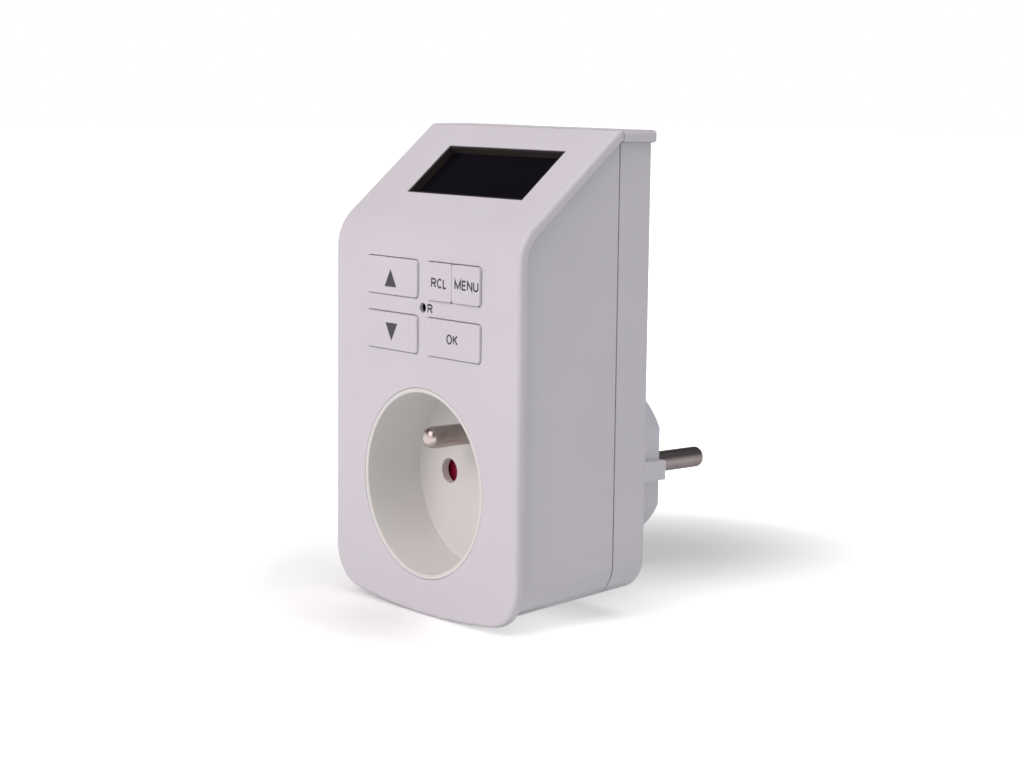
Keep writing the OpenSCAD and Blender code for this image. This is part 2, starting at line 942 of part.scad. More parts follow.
module socket_insert() {
    color("whitesmoke")
    difference() {
        union() {
            translate([0, face_y, 0])
                rotate([-90, 0, 0])
                    rotate_extrude()
                        socket_section();
            for (side = [-1, 1])
                rod([side * carrier_screw_x, 0], carrier_boss_r, floor_back_d - eps, carrier_d - floor_back_d + eps);
        }
        slab(recess_d - 1, floor_t + 2) {
            for (side = [-1, 1])
                translate([side * pin_x, 0])
                    circle(hole_r);
            translate([0, earth_z])
                circle(earth_neck_r + snug / 2);
        }
        for (turn = [45 : 90 : 315])
            rotate([0, turn, 0])
                rod([stake_ring_r, 0], stake_r + slip, 0, past);
        for (side = [-1, 1])
            rod([side * carrier_screw_x, 0], small_screw_r + bore_slip - 0.2, recess_d + 1.2, past);
    }
}

module earth_pin() {
    front = recess_d - earth_len;
    tip = pin_r - 0.5;
    color("silver")
    translate([0, face_y, earth_z])
        rotate([-90, 0, 0])
            rotate_extrude()
                union() {
                    translate([0, front + tip])
                        square([pin_r, earth_len - tip]);
                    translate([0, recess_d - eps])
                        square([earth_neck_r, floor_t + 2 * eps]);
                    translate([0, front])
                        square([pin_r - tip, tip + eps]);
                    intersection() {
                        translate([pin_r - tip, front + tip])
                            circle(tip);
                        translate([0, front])
                            square([pin_r, tip]);
                    }
                    translate([0, floor_back_d])
                        square([earth_flange_r, earth_flange_t]);
                    translate([0, floor_back_d])
                        square([earth_stem_r, earth_stem_end_d - floor_back_d]);
                }
}

module shutter() {
    color("crimson")
    slab(shutter_d, shutter_t)
        difference() {
            union() {
                for (side = [-1, 1])
                    translate([side * (wing_in_x + wing_out_x) / 2, (shutter_top + shutter_low) / 2])
                        square([wing_out_x - wing_in_x, shutter_top - shutter_low], center = true);
                translate([-wing_in_x - eps, shutter_low])
                    square([2 * (wing_in_x + eps), -shutter_low + 3.4]);
            }
            for (side = [-1, 1])
                translate([side * pin_x, shutter_travel])
                    circle(shutter_window_r);
        }
}

// a round wire wound in a helix from the ledge up to the shutter
module shutter_spring() {
    sides = 8;
    steps = 16 * spring_turns;
    rise = spring_top - spring_low - 2 * spring_wire_r;
    mid_y = face_y + shutter_d + shutter_t / 2;
    points = [
        for (i = [0 : steps], k = [0 : sides - 1])
            let (turn = i * 360 / 16, z = spring_low + spring_wire_r + rise * i / steps)
                let (out = spring_r + spring_wire_r * cos(k * 360 / sides))
                    [out * cos(turn), mid_y + out * sin(turn) * 0.55, z + spring_wire_r * sin(k * 360 / sides)]
    ];
    walls = [
        for (i = [0 : steps - 1], k = [0 : sides - 1])
            let (a = i * sides + k, b = i * sides + (k + 1) % sides)
                [a, b, b + sides, a + sides]
    ];
    color("silver")
    polyhedron(
        points,
        concat([[for (k = [sides - 1 : -1 : 0]) k]], walls, [[for (k = [0 : sides - 1]) steps * sides + k]])
    );
}

module contact_carrier() {
    color("ivory")
    difference() {
        union() {
            slab(carrier_d, carrier_t)
                difference() {
                    translate([0, (carrier_top + carrier_low) / 2])
                        rounded_rect(carrier_w, carrier_top - carrier_low, 2);
                    translate([-strap_w / 2 - 1.6, earth_z - earth_flange_r - 1])
                        square([strap_w + 3.2, past + earth_flange_r]);
                }
            for (side = [-1, 1]) {
                slab(shutter_d - slip, carrier_d - shutter_d + slip + eps)
                    translate([side * (rail_x + rail_w / 2), (rail_top + rail_low) / 2])
                        square([rail_w, rail_top - rail_low], center = true);
                difference() {
                    slab(carrier_back_d - eps, tower_end_d - carrier_back_d)
                        translate([side * pin_x, 0])
                            difference() {
                                square(2 * (tower_in + tower_wall), center = true);
                                square(2 * tower_in, center = true);
                            }
                    slab(tower_end_d - tower_notch_len, past)
                        translate([side * pin_x, tower_in + tower_wall])
                            square([tower_notch_w, 2 * tower_wall + 1], center = true);
                }
            }
            slab(shutter_d - slip, carrier_d - shutter_d + slip + eps)
                translate([0, spring_low - ledge_t / 2])
                    square([6, ledge_t], center = true);
        }
        slab(carrier_d - 1, carrier_t + 2)
            for (side = [-1, 1]) {
                translate([side * pin_x, 0])
                    circle(hole_r + 0.6);
                translate([side * carrier_screw_x, 0])
                    circle(small_screw_r + slip);
            }
    }
}

module carrier_screws() {
    color("silver")
    for (side = [-1, 1])
        screw([side * carrier_screw_x, 0], small_screw_r - 0.2, small_head_r - 0.2, small_head_h, carrier_screw_l,
            carrier_back_d);
}

module contact(side) {
    color("goldenrod")
    translate([side * pin_x, face_y + contact_start_d, 0])
        rotate([-90, 0, 0])
            difference() {
                cylinder(r = sleeve_r + contact_wall, h = contact_len);
                translate([0, 0, -1])
                    cylinder(r = sleeve_r, h = contact_len + 2);
                translate([0, 0, contact_len / 2 - 1.5])
                    cube([4 * sleeve_r, contact_slot, contact_len], center = true);
            }
}

module live_contact() {
    contact(1);
}

module neutral_contact() {
    contact(-1);
}

// a strip from the contact's back to a foot on the pin's inner end
module neutral_link() {
    start_y = face_y + contact_start_d + contact_len - 5;
    color("goldenrod")
    translate([-pin_x - link_w / 2, 0, 0])
        union() {
            translate([0, start_y, link_z])
                cube([link_w, stub_end_y - start_y, link_t]);
            translate([0, stub_end_y - link_t, -stub_r])
                cube([link_w, link_t, stub_r + link_z + link_t]);
        }
}

// insulated wire: straight runs with round elbows through a few points
module wire(points) {
    for (i = [0 : len(points) - 2])
        let (a = points[i], run = points[i + 1] - a, size = norm(run))
            translate(a)
                rotate([0, acos(run[2] / size), atan2(run[1], run[0])])
                    cylinder(r = wire_r, h = size);
    for (i = [1 : len(points) - 2])
        translate(points[i])
            sphere(elbow_r);
}

// from the live pin's inner end through the plug's neck and up behind the power board
module live_wire() {
    color("saddlebrown")
    wire([
        [pin_x, stub_end_y - snug, 0],
        [pin_x, stub_end_y - 2.5, 0],
        [pin_x + 0.8, -plug_len + 0.2, 6.6],
        [pin_x + 1.5, riser_y, 8],
        [riser_x, riser_y, neck_flange_r - 2],
        [riser_x, board_wire_y, power_low - 1],
        [riser_x, board_wire_y, power_low + 2]
    ]);
}

// from the live contact straight up to the front of the power board
module switched_wire() {
    color("black")
    wire([
        [pin_x, front_wire_y, sleeve_r + contact_wall + 0.02],
        [pin_x, front_wire_y, power_low + 3],
        [pin_x, face_y + power_board_d - eps, power_low + 3]
    ]);
}

// from the neutral link through the plug's neck and up behind the power board
module neutral_wire() {
    color("royalblue")
    wire([
        [-pin_x, -plug_len, link_z + link_t + 0.02],
        [-pin_x - 0.5, -plug_len - 0.3, 7],
        [-pin_x - 1.5, riser_y, 8],
        [-riser_x, riser_y, neck_flange_r - 2],
        [-riser_x, board_wire_y, power_low - 1],
        [-riser_x, board_wire_y, power_low + 2]
    ]);
}

// --- keys ---

module key_cap(x, z, width, left_over, right_over) {
    flange_w = width + left_over + right_over;
    color("whitesmoke")
    union() {
        slab(-key_proud, key_proud + key_back_d + eps)
            translate([x, z])
                rounded_rect(width, key_h, key_corner);
        slab(key_back_d, key_flange_t)
            translate([x + (right_over - left_over) / 2, z])
                rounded_rect(flange_w, key_h + 2 * key_flange_over, key_corner);
    }
}

module key_up() {
    key_cap(key_left_x, upper_row_z, key_w, key_flange_over, key_flange_over);
}

module key_down() {
    key_cap(key_left_x, lower_row_z, key_w, key_flange_over, key_flange_over);
}

module key_recall() {
    key_cap(recall_x, upper_row_z, recall_w, key_flange_over, 0);
}

module key_menu() {
    key_cap(menu_x, upper_row_z, menu_w, 0, key_flange_over);
}

module key_ok() {
    key_cap(key_right_x, lower_row_z, key_w, key_flange_over, key_flange_over);
}

module plunger(index, radius) {
    color("black")
    rod(switch_spots[index], radius, plunger_d, plunger_end_d - plunger_d);
}

module plunger_up() {
    plunger(0, plunger_r);
}

module plunger_down() {
    plunger(1, plunger_r);
}

module plunger_recall() {
    plunger(2, plunger_r);
}

module plunger_menu() {
    plunger(3, plunger_r);
}

module plunger_ok() {
    plunger(4, plunger_r);
}

module plunger_reset() {
    plunger(5, reset_plunger_r);
}

module switch_cases() {
    color("dimgray")
    for (spot = switch_spots)
        difference() {
            slab(switch_front_d, switch_d)
                translate(spot)
                    square(spot[0] == 0 ? reset_switch_w : switch_w, center = true);
            rod(spot, (spot[0] == 0 ? reset_plunger_r : plunger_r) + slip, switch_front_d - 1, switch_well + 1);
        }
}

module key_board() {
    color("darkgreen")
    slab(switch_back_d, board_t)
        difference() {
            translate([0, (key_board_low + key_board_top) / 2])
                rounded_rect(key_board_w, key_board_top - key_board_low, 1);
            for (spot = key_screw_spots)
                translate(spot)
                    circle(small_screw_r + slip);
        }
}

module key_board_screws() {
    color("silver")
    for (spot = key_screw_spots)
        screw(spot, small_screw_r, small_head_r, small_head_h, board_screw_l, key_board_back_d);
}

// a rechargeable button cell between two welded tabs
module backup_cell() {
    color("silver")
    union() {
        rod([cell_x, cell_z], cell_r, key_board_back_d + 0.6, cell_t);
        for (side = [-1, 1])
            translate([cell_x - 1.2, face_y + key_board_back_d, cell_z + side * (cell_r + 0.2) - 1.2])
                cube([2.4, 0.9, 2.4]);
        rod([cell_x, cell_z], cell_r - 1, key_board_back_d + 0.6 + cell_t - eps, 0.4);
    }
}

// a flat cable from the back of the key board to the back of the display board
module ribbon_cable() {
    width = 14;
    thick = 0.5;
    drop_z = key_board_top - 2.2;
    low_u = window_u - display_board_l / 2;
    reach = [
        low_u * cos(slant_angle) + (display_board_h + board_t) * sin(slant_angle),
        bend_z + low_u * sin(slant_angle) - (display_board_h + board_t) * cos(slant_angle)
    ];
    start = [key_board_back_d, drop_z];
    color("slategray")
    across(width)
        polygon([
            start, [start[0] + 2.2, drop_z], reach + [0.6, -0.9],
            reach + [0, 0] + 2 * [cos(slant_angle), sin(slant_angle)],
            reach + 2 * [cos(slant_angle), sin(slant_angle)] + thick * [sin(slant_angle), -cos(slant_angle)],
            reach + [0.6, -0.9] + [thick, -thick / 2], [start[0] + 2.2 + thick / 2, drop_z - thick],
            [start[0], drop_z - thick]
        ]);
}

// --- display ---

module display_frame() {
    color("black")
    difference() {
        union() {
            slant_slab(frame_rim_h, frame_flange_h - frame_rim_h + eps)
                square([window_w - 2 * snug, window_l - 2 * snug], center = true);
            slant_slab(frame_flange_h, frame_back_h - frame_flange_h)
                rounded_rect(window_w + 2 * frame_side, window_l + 2 * frame_end, 1);
        }
        slant_slab(-1, frame_back_h + 2)
            square([lining_w, lining_l], center = true);
        slant_slab(lens_h, frame_back_h)
            square([window_w + 2 * (lens_side + slip), window_l + 2 * (lens_end + slip)], center = true);
    }
}

module display_lens() {
    color("darkslategray")
    union() {
        slant_slab(lens_h + eps, lens_t)
            square([window_w + 2 * lens_side, window_l + 2 * lens_end], center = true);
        slant_slab(lens_sink, lens_h - lens_sink + 2 * eps)
            square([lining_w - slip, lining_l - slip], center = true);
    }
}

module lcd_panel() {
    color("midnightblue")
    slant_slab(lcd_h, lcd_t)
        square([window_w + 2 * lens_side, window_l + 2 * lens_end], center = true);
}

module contact_strips() {
    color("gray")
    for (side = [-1, 1])
        slant_slab(strip_top_h, strip_h)
            translate([0, side * (window_l / 2 + lens_end - strip_w / 2)])
                square([window_w - 4, strip_w], center = true);
}

module display_board() {
    color("darkgreen")
    slant_slab(display_board_h, board_t)
        difference() {
            union() {
                rounded_rect(display_board_w, display_board_l, 1);
                rounded_rect(2 * (display_screw_x + display_post_r), display_ear_l, 1);
            }
            for (side = [-1, 1])
                translate([side * display_screw_x, 0])
                    circle(small_screw_r + slip);
        }
}

module display_screws() {
    color("silver")
    for (side = [-1, 1])
        on_slant()
            translate([window_x + side * display_screw_x, window_u, -display_board_h - board_t])
                difference() {
                    union() {
                        cylinder(r = small_screw_r, h = board_t + board_screw_l - 2.2);
                        translate([0, 0, -small_head_h])
                            cylinder(r = small_head_r - 0.1, h = small_head_h);
                    }
                    translate([0, 0, -small_head_h])
                        cube([small_head_r * 1.2, 0.5, 1], center = true);
                }
}

module controller_chip() {
    color("black")
    slant_slab(display_board_h + board_t, chip_t)
        translate([4, 1])
            rounded_rect(chip_w, chip_w, 0.5);
}

// --- power supply ---

module power_board() {
    color("darkgreen")
    slab(power_board_d, board_t)
        difference() {
            translate([0, (power_low + power_top) / 2])
                rounded_rect(power_board_w, power_top - power_low, 1);
            for (spot = power_screw_spots)
                translate(spot)
                    circle(small_screw_r + slip);
        }
}

module power_board_screws() {
    color("silver")
    for (spot = power_screw_spots)
        translate([spot[0], face_y + power_board_d, spot[1]])
            rotate([-90, 0, 0])
                difference() {
                    union() {
                        cylinder(r = small_screw_r, h = board_screw_l - 0.6);
                        translate([0, 0, -small_head_h])
                            cylinder(r = small_head_r, h = small_head_h);
                    }
                    translate([0, 0, -small_head_h])
                        cube([small_head_r * 1.2, 0.5, 1], center = true);
                }
}

module relay_box(inset, start_d, length) {
    slab(start_d, length)
        translate([relay_x, relay_low + relay_h / 2])
            square([relay_w - 2 * inset, relay_h - 2 * inset], center = true);
}

module relay_case() {
    color("midnightblue")
    difference() {
        relay_box(0, relay_front_d, relay_d - relay_base_t);
        relay_box(relay_wall, relay_front_d + relay_wall, relay_d);
    }
}

module relay_base() {
    color("black")
    relay_box(0, power_board_d - relay_base_t, relay_base_t);
}

// a bobbin with its winding and core, standing on the relay's base
module relay_coil() {
    base_d = power_board_d - relay_base_t;
    spot = [relay_x, coil_z];
    color("chocolate")
    union() {
        rod(spot, coil_r + 0.6, base_d - coil_len, 0.8);
        rod(spot, coil_r, base_d - coil_len, coil_len);
        rod(spot, coil_r + 0.6, base_d - 0.8, 0.8);
        rod(spot, coil_core_r, yoke_front_d, 1);
    }
}

// the iron frame beside the coil; its front edge carries the armature
module relay_yoke() {
    color("slategray")
    translate([relay_x - yoke_iron_w / 2, face_y + yoke_front_d, yoke_z])
        cube([yoke_iron_w, coil_len + core_over, yoke_t]);
}

// a flat plate over the core, tipped open about the yoke's front edge
module relay_armature() {
    hinge_z = yoke_z + yoke_t;
    color("slategray")
    translate([relay_x - yoke_iron_w / 2, face_y + yoke_front_d - armature_gap, hinge_z])
        rotate([-armature_swing, 0, 0])
            translate([0, -armature_t, -hinge_z + coil_z - coil_r])
                cube([yoke_iron_w, armature_t, hinge_z - coil_z + coil_r]);
}

module suppression_capacitor() {
    color("gold")
    slab(power_board_d - film_d, film_d)
        translate([film_x, film_z])
            rounded_rect(film_w, film_h, 0.6);
}

module smoothing_capacitor() {
    color("black")
    union() {
        rod([can_x, can_z], can_r, power_board_d - can_len, can_len);
        rod([can_x, can_z], can_r - 0.5, power_board_d - can_len - 0.2, 1);
    }
}

module fuse() {
    color("tan")
    translate([fuse_x - fuse_len / 2, face_y + power_board_d - fuse_r - slip, fuse_z])
        rotate([0, 90, 0])
            union() {
                translate([0, 0, fuse_cap / 2])
                    cylinder(r = fuse_r - 0.2, h = fuse_len - fuse_cap);
                for (at = [0, fuse_len - fuse_cap])
                    translate([0, 0, at])
                        cylinder(r = fuse_r, h = fuse_cap);
            }
}

module varistor() {
    color("dodgerblue")
    union() {
        translate([varistor_x, face_y + power_board_d - varistor_r - varistor_rise, varistor_z])
            cylinder(r = varistor_r, h = varistor_t, center = true);
        for (side = [-1, 1])
            rod([varistor_x + side * lead_x, varistor_z], lead_r, power_board_d - varistor_r, varistor_r);
    }
}

front_cover();
rear_cover();
case_screws();
plug_body();
plug_retainer();
retainer_screws();
live_pin();
neutral_pin();
earth_sleeve();
earth_clip();
earth_strap();
socket_insert();
earth_pin();
shutter();
shutter_spring();
contact_carrier();
carrier_screws();
live_contact();
neutral_contact();
neutral_link();
live_wire();
switched_wire();
neutral_wire();
key_up();
key_down();
key_recall();
key_menu();
key_ok();
plunger_up();
plunger_down();
plunger_recall();
plunger_menu();
plunger_ok();
plunger_reset();
switch_cases();
key_board();
key_board_screws();
backup_cell();
ribbon_cable();
display_frame();
display_lens();
lcd_panel();
contact_strips();
display_board();
display_screws();
controller_chip();
power_board();
power_board_screws();
relay_case();
relay_base();
relay_coil();
relay_yoke();
relay_armature();
suppression_capacitor();
smoothing_capacitor();
fuse();
varistor();
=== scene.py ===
"""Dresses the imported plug-in timer switch: rounded mouldings, printed legends, finishes, lamps and camera."""
import json
import math

import bmesh
import bpy
from bpy.props import FloatProperty, FloatVectorProperty, PointerProperty
from mathutils import Matrix, Vector


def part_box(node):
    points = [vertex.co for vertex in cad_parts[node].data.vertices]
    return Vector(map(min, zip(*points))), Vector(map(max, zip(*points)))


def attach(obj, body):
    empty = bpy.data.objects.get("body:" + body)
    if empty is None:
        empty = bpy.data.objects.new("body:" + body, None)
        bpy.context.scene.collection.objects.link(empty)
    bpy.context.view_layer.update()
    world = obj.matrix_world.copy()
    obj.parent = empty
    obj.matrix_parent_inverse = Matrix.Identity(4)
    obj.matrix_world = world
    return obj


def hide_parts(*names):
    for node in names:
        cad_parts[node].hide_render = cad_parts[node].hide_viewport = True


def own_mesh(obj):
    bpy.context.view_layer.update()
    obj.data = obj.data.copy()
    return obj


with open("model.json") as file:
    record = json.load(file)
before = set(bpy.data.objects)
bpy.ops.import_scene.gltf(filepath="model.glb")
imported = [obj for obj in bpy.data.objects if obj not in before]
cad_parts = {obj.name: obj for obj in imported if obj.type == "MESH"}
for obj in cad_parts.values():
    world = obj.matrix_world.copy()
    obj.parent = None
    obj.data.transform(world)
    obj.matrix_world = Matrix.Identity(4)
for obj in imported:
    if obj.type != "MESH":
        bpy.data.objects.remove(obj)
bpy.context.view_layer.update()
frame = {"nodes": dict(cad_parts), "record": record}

bl_info = {
    "name": "Plug-in timer switch",
    "version": (1, 0, 0),
    "blender": (4, 5, 0),
    "location": "View3D > Sidebar > Timer",
    "description": "Dresses a packed plug-in timer switch with mouldings, legends and finishes",
    "category": "Add Mesh",
}

MM = 0.001
NODES = frame["nodes"]
RECORD = frame["record"]
SLOT_OF = {row["node"]: row["material_slot"] for row in RECORD["subparts"]}
BODY_OF = {node: body for body, members in RECORD["behaviour"]["bodies"].items() for node in members}

# where things lie, read from the frame; the middle of the socket is at x = z = 0, the end of the plug at y = 0
FACE_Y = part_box("front_cover")[0].y
KEY_FACE_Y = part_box("key_up")[0].y
FLOOR_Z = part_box("front_cover")[0].z
HALF_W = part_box("front_cover")[1].x
ROOF_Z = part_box("front_cover")[1].z

# lines between the edges of a moulding that are rounded and those that stay as they are
NEAR = 0.1 * MM
TOUCHING = 0.02 * MM  # for the flat sides
SLANT = math.radians(40)  # slope of the display panel
BEND_Z = 54.8 * MM  # height at which the face and the panel would meet
LIP_MIDDLE = 1.6 * MM  # between the lip's front edge and its back edge
LIP_REACH = 3 * MM  # deeper than the lip goes
SIDES_END_Z = -14 * MM  # the face's curved foot lies lower
CORNER_MIDDLE = Vector((23.1 * MM, -17.35 * MM))
CORNER_INSIDE = 9.3 * MM  # just less than the corner's radius
ARCH_RADIUS = 170 * MM
ARCH_FOOT = 29.2 * MM  # how far the arch reaches below the middle of the socket
BACK_Y = -19 * MM  # just in front of the back of the case
KEY_PROUD = 0.2 * MM  # a key's front edges stand further out of the face
KEY_SPLIT_REACH = 0.3 * MM  # round the line that splits the last pair of keys
RIM_MIDDLE = 20.5 * MM  # between the inner and the outer edge of the socket's rim
RECESS_FLOOR_Y = -40 * MM  # between the front and the back of the recess's floor
PIN_X = 9.5 * MM
PIN_HOLE_REACH = 3.2 * MM  # just more than the radius of a pin hole
PLUG_END_Y = -1 * MM  # just in front of the plug's end
PLUG_FOOT_Y = -18 * MM  # just behind the back of the case
PLUG_RIB_X = 15 * MM  # the ribs on the plug's flanks lie further out

# fixed roundings of the socket insert
RIM_ROUND = 0.3 * MM
RIM_OUTSIDE_ROUND = 0.08 * MM
PIN_HOLE_ROUND = 0.25 * MM


# --- settings a user would change ---

class TimerShape(bpy.types.PropertyGroup):
    """Roundings of the mouldings and strength of the print"""
    lip_round: FloatProperty(name="Lip rounding", description="Radius along the lip round the face",
                             default=1.1 * MM, min=0.4 * MM, max=1.3 * MM, unit="LENGTH")
    lip_back_round: FloatProperty(name="Lip back rounding",
                                  description="Radius along the lip's edge behind the face",
                                  default=0.5 * MM, min=0.2 * MM, max=0.9 * MM, unit="LENGTH")
    roof_round: FloatProperty(name="Roof rounding",
                              description="Radius between the slanted panel and the roof",
                              default=0.4 * MM, min=0.2 * MM, max=0.8 * MM, unit="LENGTH")
    edge_round: FloatProperty(name="Edge rounding", description="Radius along the edges of the back",
                              default=0.5 * MM, min=0.1 * MM, max=0.6 * MM, unit="LENGTH")
    plug_round: FloatProperty(name="Plug rounding", description="Radius round the end of the plug",
                              default=0.5 * MM, min=0.3 * MM, max=2.0 * MM, unit="LENGTH")
    key_round: FloatProperty(name="Key rounding", description="Radius along the edges of the keys",
                             default=0.3 * MM, min=0.1 * MM, max=0.4 * MM, unit="LENGTH")
    legend_rise: FloatProperty(name="Legend thickness", description="How far the print stands on a key",
                               default=0.012 * MM, min=0.005 * MM, max=0.05 * MM, unit="LENGTH")
    legend_stroke: FloatProperty(name="Legend stroke", description="Width of the strokes of the letters",
                                 default=0.39 * MM, min=0.15 * MM, max=0.5 * MM, unit="LENGTH")


class TimerFinish(bpy.types.PropertyGroup):
    """Colours of the outer mouldings and of the print"""
    case_colour: FloatVectorProperty(name="Case", description="Colour of the covers, keys and plug",
                                     subtype="COLOR", size=3, default=(0.712, 0.698, 0.755), min=0, max=1)
    socket_colour: FloatVectorProperty(name="Socket", description="Colour of the socket insert",
                                       subtype="COLOR", size=3, default=(0.782, 0.783, 0.77), min=0, max=1)
    print_colour: FloatVectorProperty(name="Print", description="Colour of the printed legends",
                                      subtype="COLOR", size=3, default=(0.037, 0.035, 0.053), min=0, max=1)


class TimerStage(bpy.types.PropertyGroup):
    """Camera, lamps and floor"""
    lens: FloatProperty(name="Lens",
                        description="Focal length of the camera in millimetres on a 36 mm sensor",
                        default=77.88, min=20, max=200)
    sky: FloatProperty(name="Room", description="Level of the plain light from all round",
                       default=0.24, min=0, max=2)
    key_power: FloatProperty(name="Key lamp", description="Power of the large soft lamp in front",
                             default=9.95, min=0, max=100, subtype="POWER")
    key_colour: FloatVectorProperty(name="Key lamp colour", description="Colour of the lamp in front",
                                    subtype="COLOR", size=3, default=(1.0, 0.87, 0.87), min=0, max=1)
    top_power: FloatProperty(name="Top lamp", description="Power of the large soft lamp overhead",
                             default=3.6, min=0, max=100, subtype="POWER")
    near_glow: FloatProperty(name="Floor glow",
                             description="How much the floor glows by itself at the object",
                             default=0.32, min=0, max=1)
    glow_start: FloatProperty(name="Glow start",
                              description="Distance at which the floor starts to glow white",
                              default=75 * MM, min=0, max=1, unit="LENGTH")
    glow_end: FloatProperty(name="Glow end",
                            description="Distance beyond which the floor is plain white",
                            default=135 * MM, min=0, max=2, unit="LENGTH")


# --- shader nodes ---

MIX_SOCKETS = {"RGBA": (0, 6, 7, 2), "FLOAT": (0, 2, 3, 0)}  # share, first, second and result


def add_node(tree, kind, where, **settings):
    """A node with its place in the editor and its settings."""
    node = tree.nodes.new(kind)
    node.location = where
    for name, value in settings.items():
        setattr(node, name, value)
    return node


def feed(tree, node, inputs):
    """Gives a node's inputs plain values, or links the outputs of other nodes to them."""
    for place, value in inputs.items():
        if isinstance(value, bpy.types.NodeSocket):
            tree.links.new(value, node.inputs[place])
        else:
            node.inputs[place].default_value = value


def noise(tree, point, where, scale, detail, roughness=0.5):
    """Clouds or grains, by how large the scale is."""
    node = add_node(tree, "ShaderNodeTexNoise", where)
    feed(tree, node, {"Vector": point, "Scale": scale, "Detail": detail, "Roughness": roughness})
    return node.outputs["Fac"]


def span(tree, value, where, low=0, high=1, start=0, end=1, curve="LINEAR"):
    """Takes low to high of a value to start to end."""
    node = add_node(tree, "ShaderNodeMapRange", where, interpolation_type=curve)
    feed(tree, node, {"Value": value, "From Min": low, "From Max": high, "To Min": start, "To Max": end})
    return node.outputs["Result"]


def mixed(tree, share, first, second, where, kind="RGBA"):
    """The first of two colours or levels where the share is nought, the second where it is one."""
    node = add_node(tree, "ShaderNodeMix", where, data_type=kind)
    *places, result = MIX_SOCKETS[kind]
    feed(tree, node, dict(zip(places, (share, first, second))))
    return node.outputs[result]


def calculate(tree, operation, first, second, where, clamp=False):
    """One step of arithmetic with two values."""
    node = add_node(tree, "ShaderNodeMath", where, operation=operation, use_clamp=clamp)
    feed(tree, node, {0: first, 1: second})
    return node.outputs[0]


# --- effects that several finishes share ---

def group_tree(name, inputs, outputs):
    """A node group with its sockets; gives the tree, what enters it and the node that leaves it."""
    tree = bpy.data.node_groups.new(name, "ShaderNodeTree")
    for label, kind, value in inputs:
        socket = tree.interface.new_socket(name=label, in_out="INPUT", socket_type=kind)
        if value is not None:
            socket.default_value = value
    for label, kind in outputs:
        tree.interface.new_socket(name=label, in_out="OUTPUT", socket_type=kind)
    enter = add_node(tree, "NodeGroupInput", (-900, 0))
    return tree, enter.outputs, add_node(tree, "NodeGroupOutput", (600, 0))


def moulded_group():
    """Colour drift, roughness drift and fine grain of moulded plastic, with painted shade where it faces the
    ground.
    """
    tree, enter, leave = group_tree(
        "moulded_grain",
        [("Point", "NodeSocketVector", None), ("Normal", "NodeSocketVector", None),
         ("Colour", "NodeSocketColor", (0.8, 0.8, 0.8, 1)), ("Drift", "NodeSocketColor", (0.7, 0.7, 0.7, 1)),
         ("Roughness", "NodeSocketFloat", 0.4), ("Grain size", "NodeSocketFloat", 2600.0),
         ("Painted underside shade", "NodeSocketFloat", 1.0)],
        [("Colour", "NodeSocketColor"), ("Roughness", "NodeSocketFloat"), ("Height", "NodeSocketFloat")])
    cloud = span(tree, noise(tree, enter["Point"], (-640, 240), 45, 3), (-420, 240), 0.35, 0.75)
    colour = mixed(tree, cloud, enter["Colour"], enter["Drift"], (-180, 240))
    # painted shade: the colour darkens where the normal points down, standing in for the floor's contact shadow
    facing = add_node(tree, "ShaderNodeSeparateXYZ", (-640, 480))
    feed(tree, facing, {0: enter["Normal"]})
    shade = span(tree, facing.outputs["Z"], (-420, 480), -1, -0.6, enter["Painted underside shade"], 1)
    darker = add_node(tree, "ShaderNodeVectorMath", (60, 240), operation="SCALE")
    feed(tree, darker, {0: colour, "Scale": shade})
    grain = noise(tree, enter["Point"], (-640, -120), enter["Grain size"], 4, 0.6)
    spread = span(tree, grain, (-420, -120), start=-0.05, end=0.05)
    rough = calculate(tree, "ADD", enter["Roughness"], spread, (-180, -120), clamp=True)
    feed(tree, leave, {"Colour": darker.outputs[0], "Roughness": rough, "Height": grain})
    return tree


def brushed_group():
    """Drawn or turned metal: streaks along one axis, faint tarnish in clouds."""
    tree, enter, leave = group_tree(
        "drawn_metal",
        [("Point", "NodeSocketVector", None), ("Colour", "NodeSocketColor", (0.7, 0.7, 0.7, 1)),
         ("Tarnish", "NodeSocketColor", (0.4, 0.36, 0.3, 1)), ("Roughness", "NodeSocketFloat", 0.25)],
        [("Colour", "NodeSocketColor"), ("Roughness", "NodeSocketFloat"), ("Height", "NodeSocketFloat")])
    stretch = add_node(tree, "ShaderNodeMapping", (-700, -100))
    feed(tree, stretch, {"Vector": enter["Point"], "Scale": (9000, 500, 9000)})
    streak = noise(tree, stretch.outputs["Vector"], (-500, -100), 1, 3)
    cloud = span(tree, noise(tree, enter["Point"], (-500, 240), 260, 5), (-300, 240), 0.5, 0.8, 0, 0.6)
    colour = mixed(tree, cloud, enter["Colour"], enter["Tarnish"], (-80, 240))
    spread = span(tree, streak, (-300, -100), start=-0.05, end=0.07)
    rough = calculate(tree, "ADD", enter["Roughness"], spread, (-80, -100), clamp=True)
    feed(tree, leave, {"Colour": colour, "Roughness": rough, "Height": streak})
    return tree


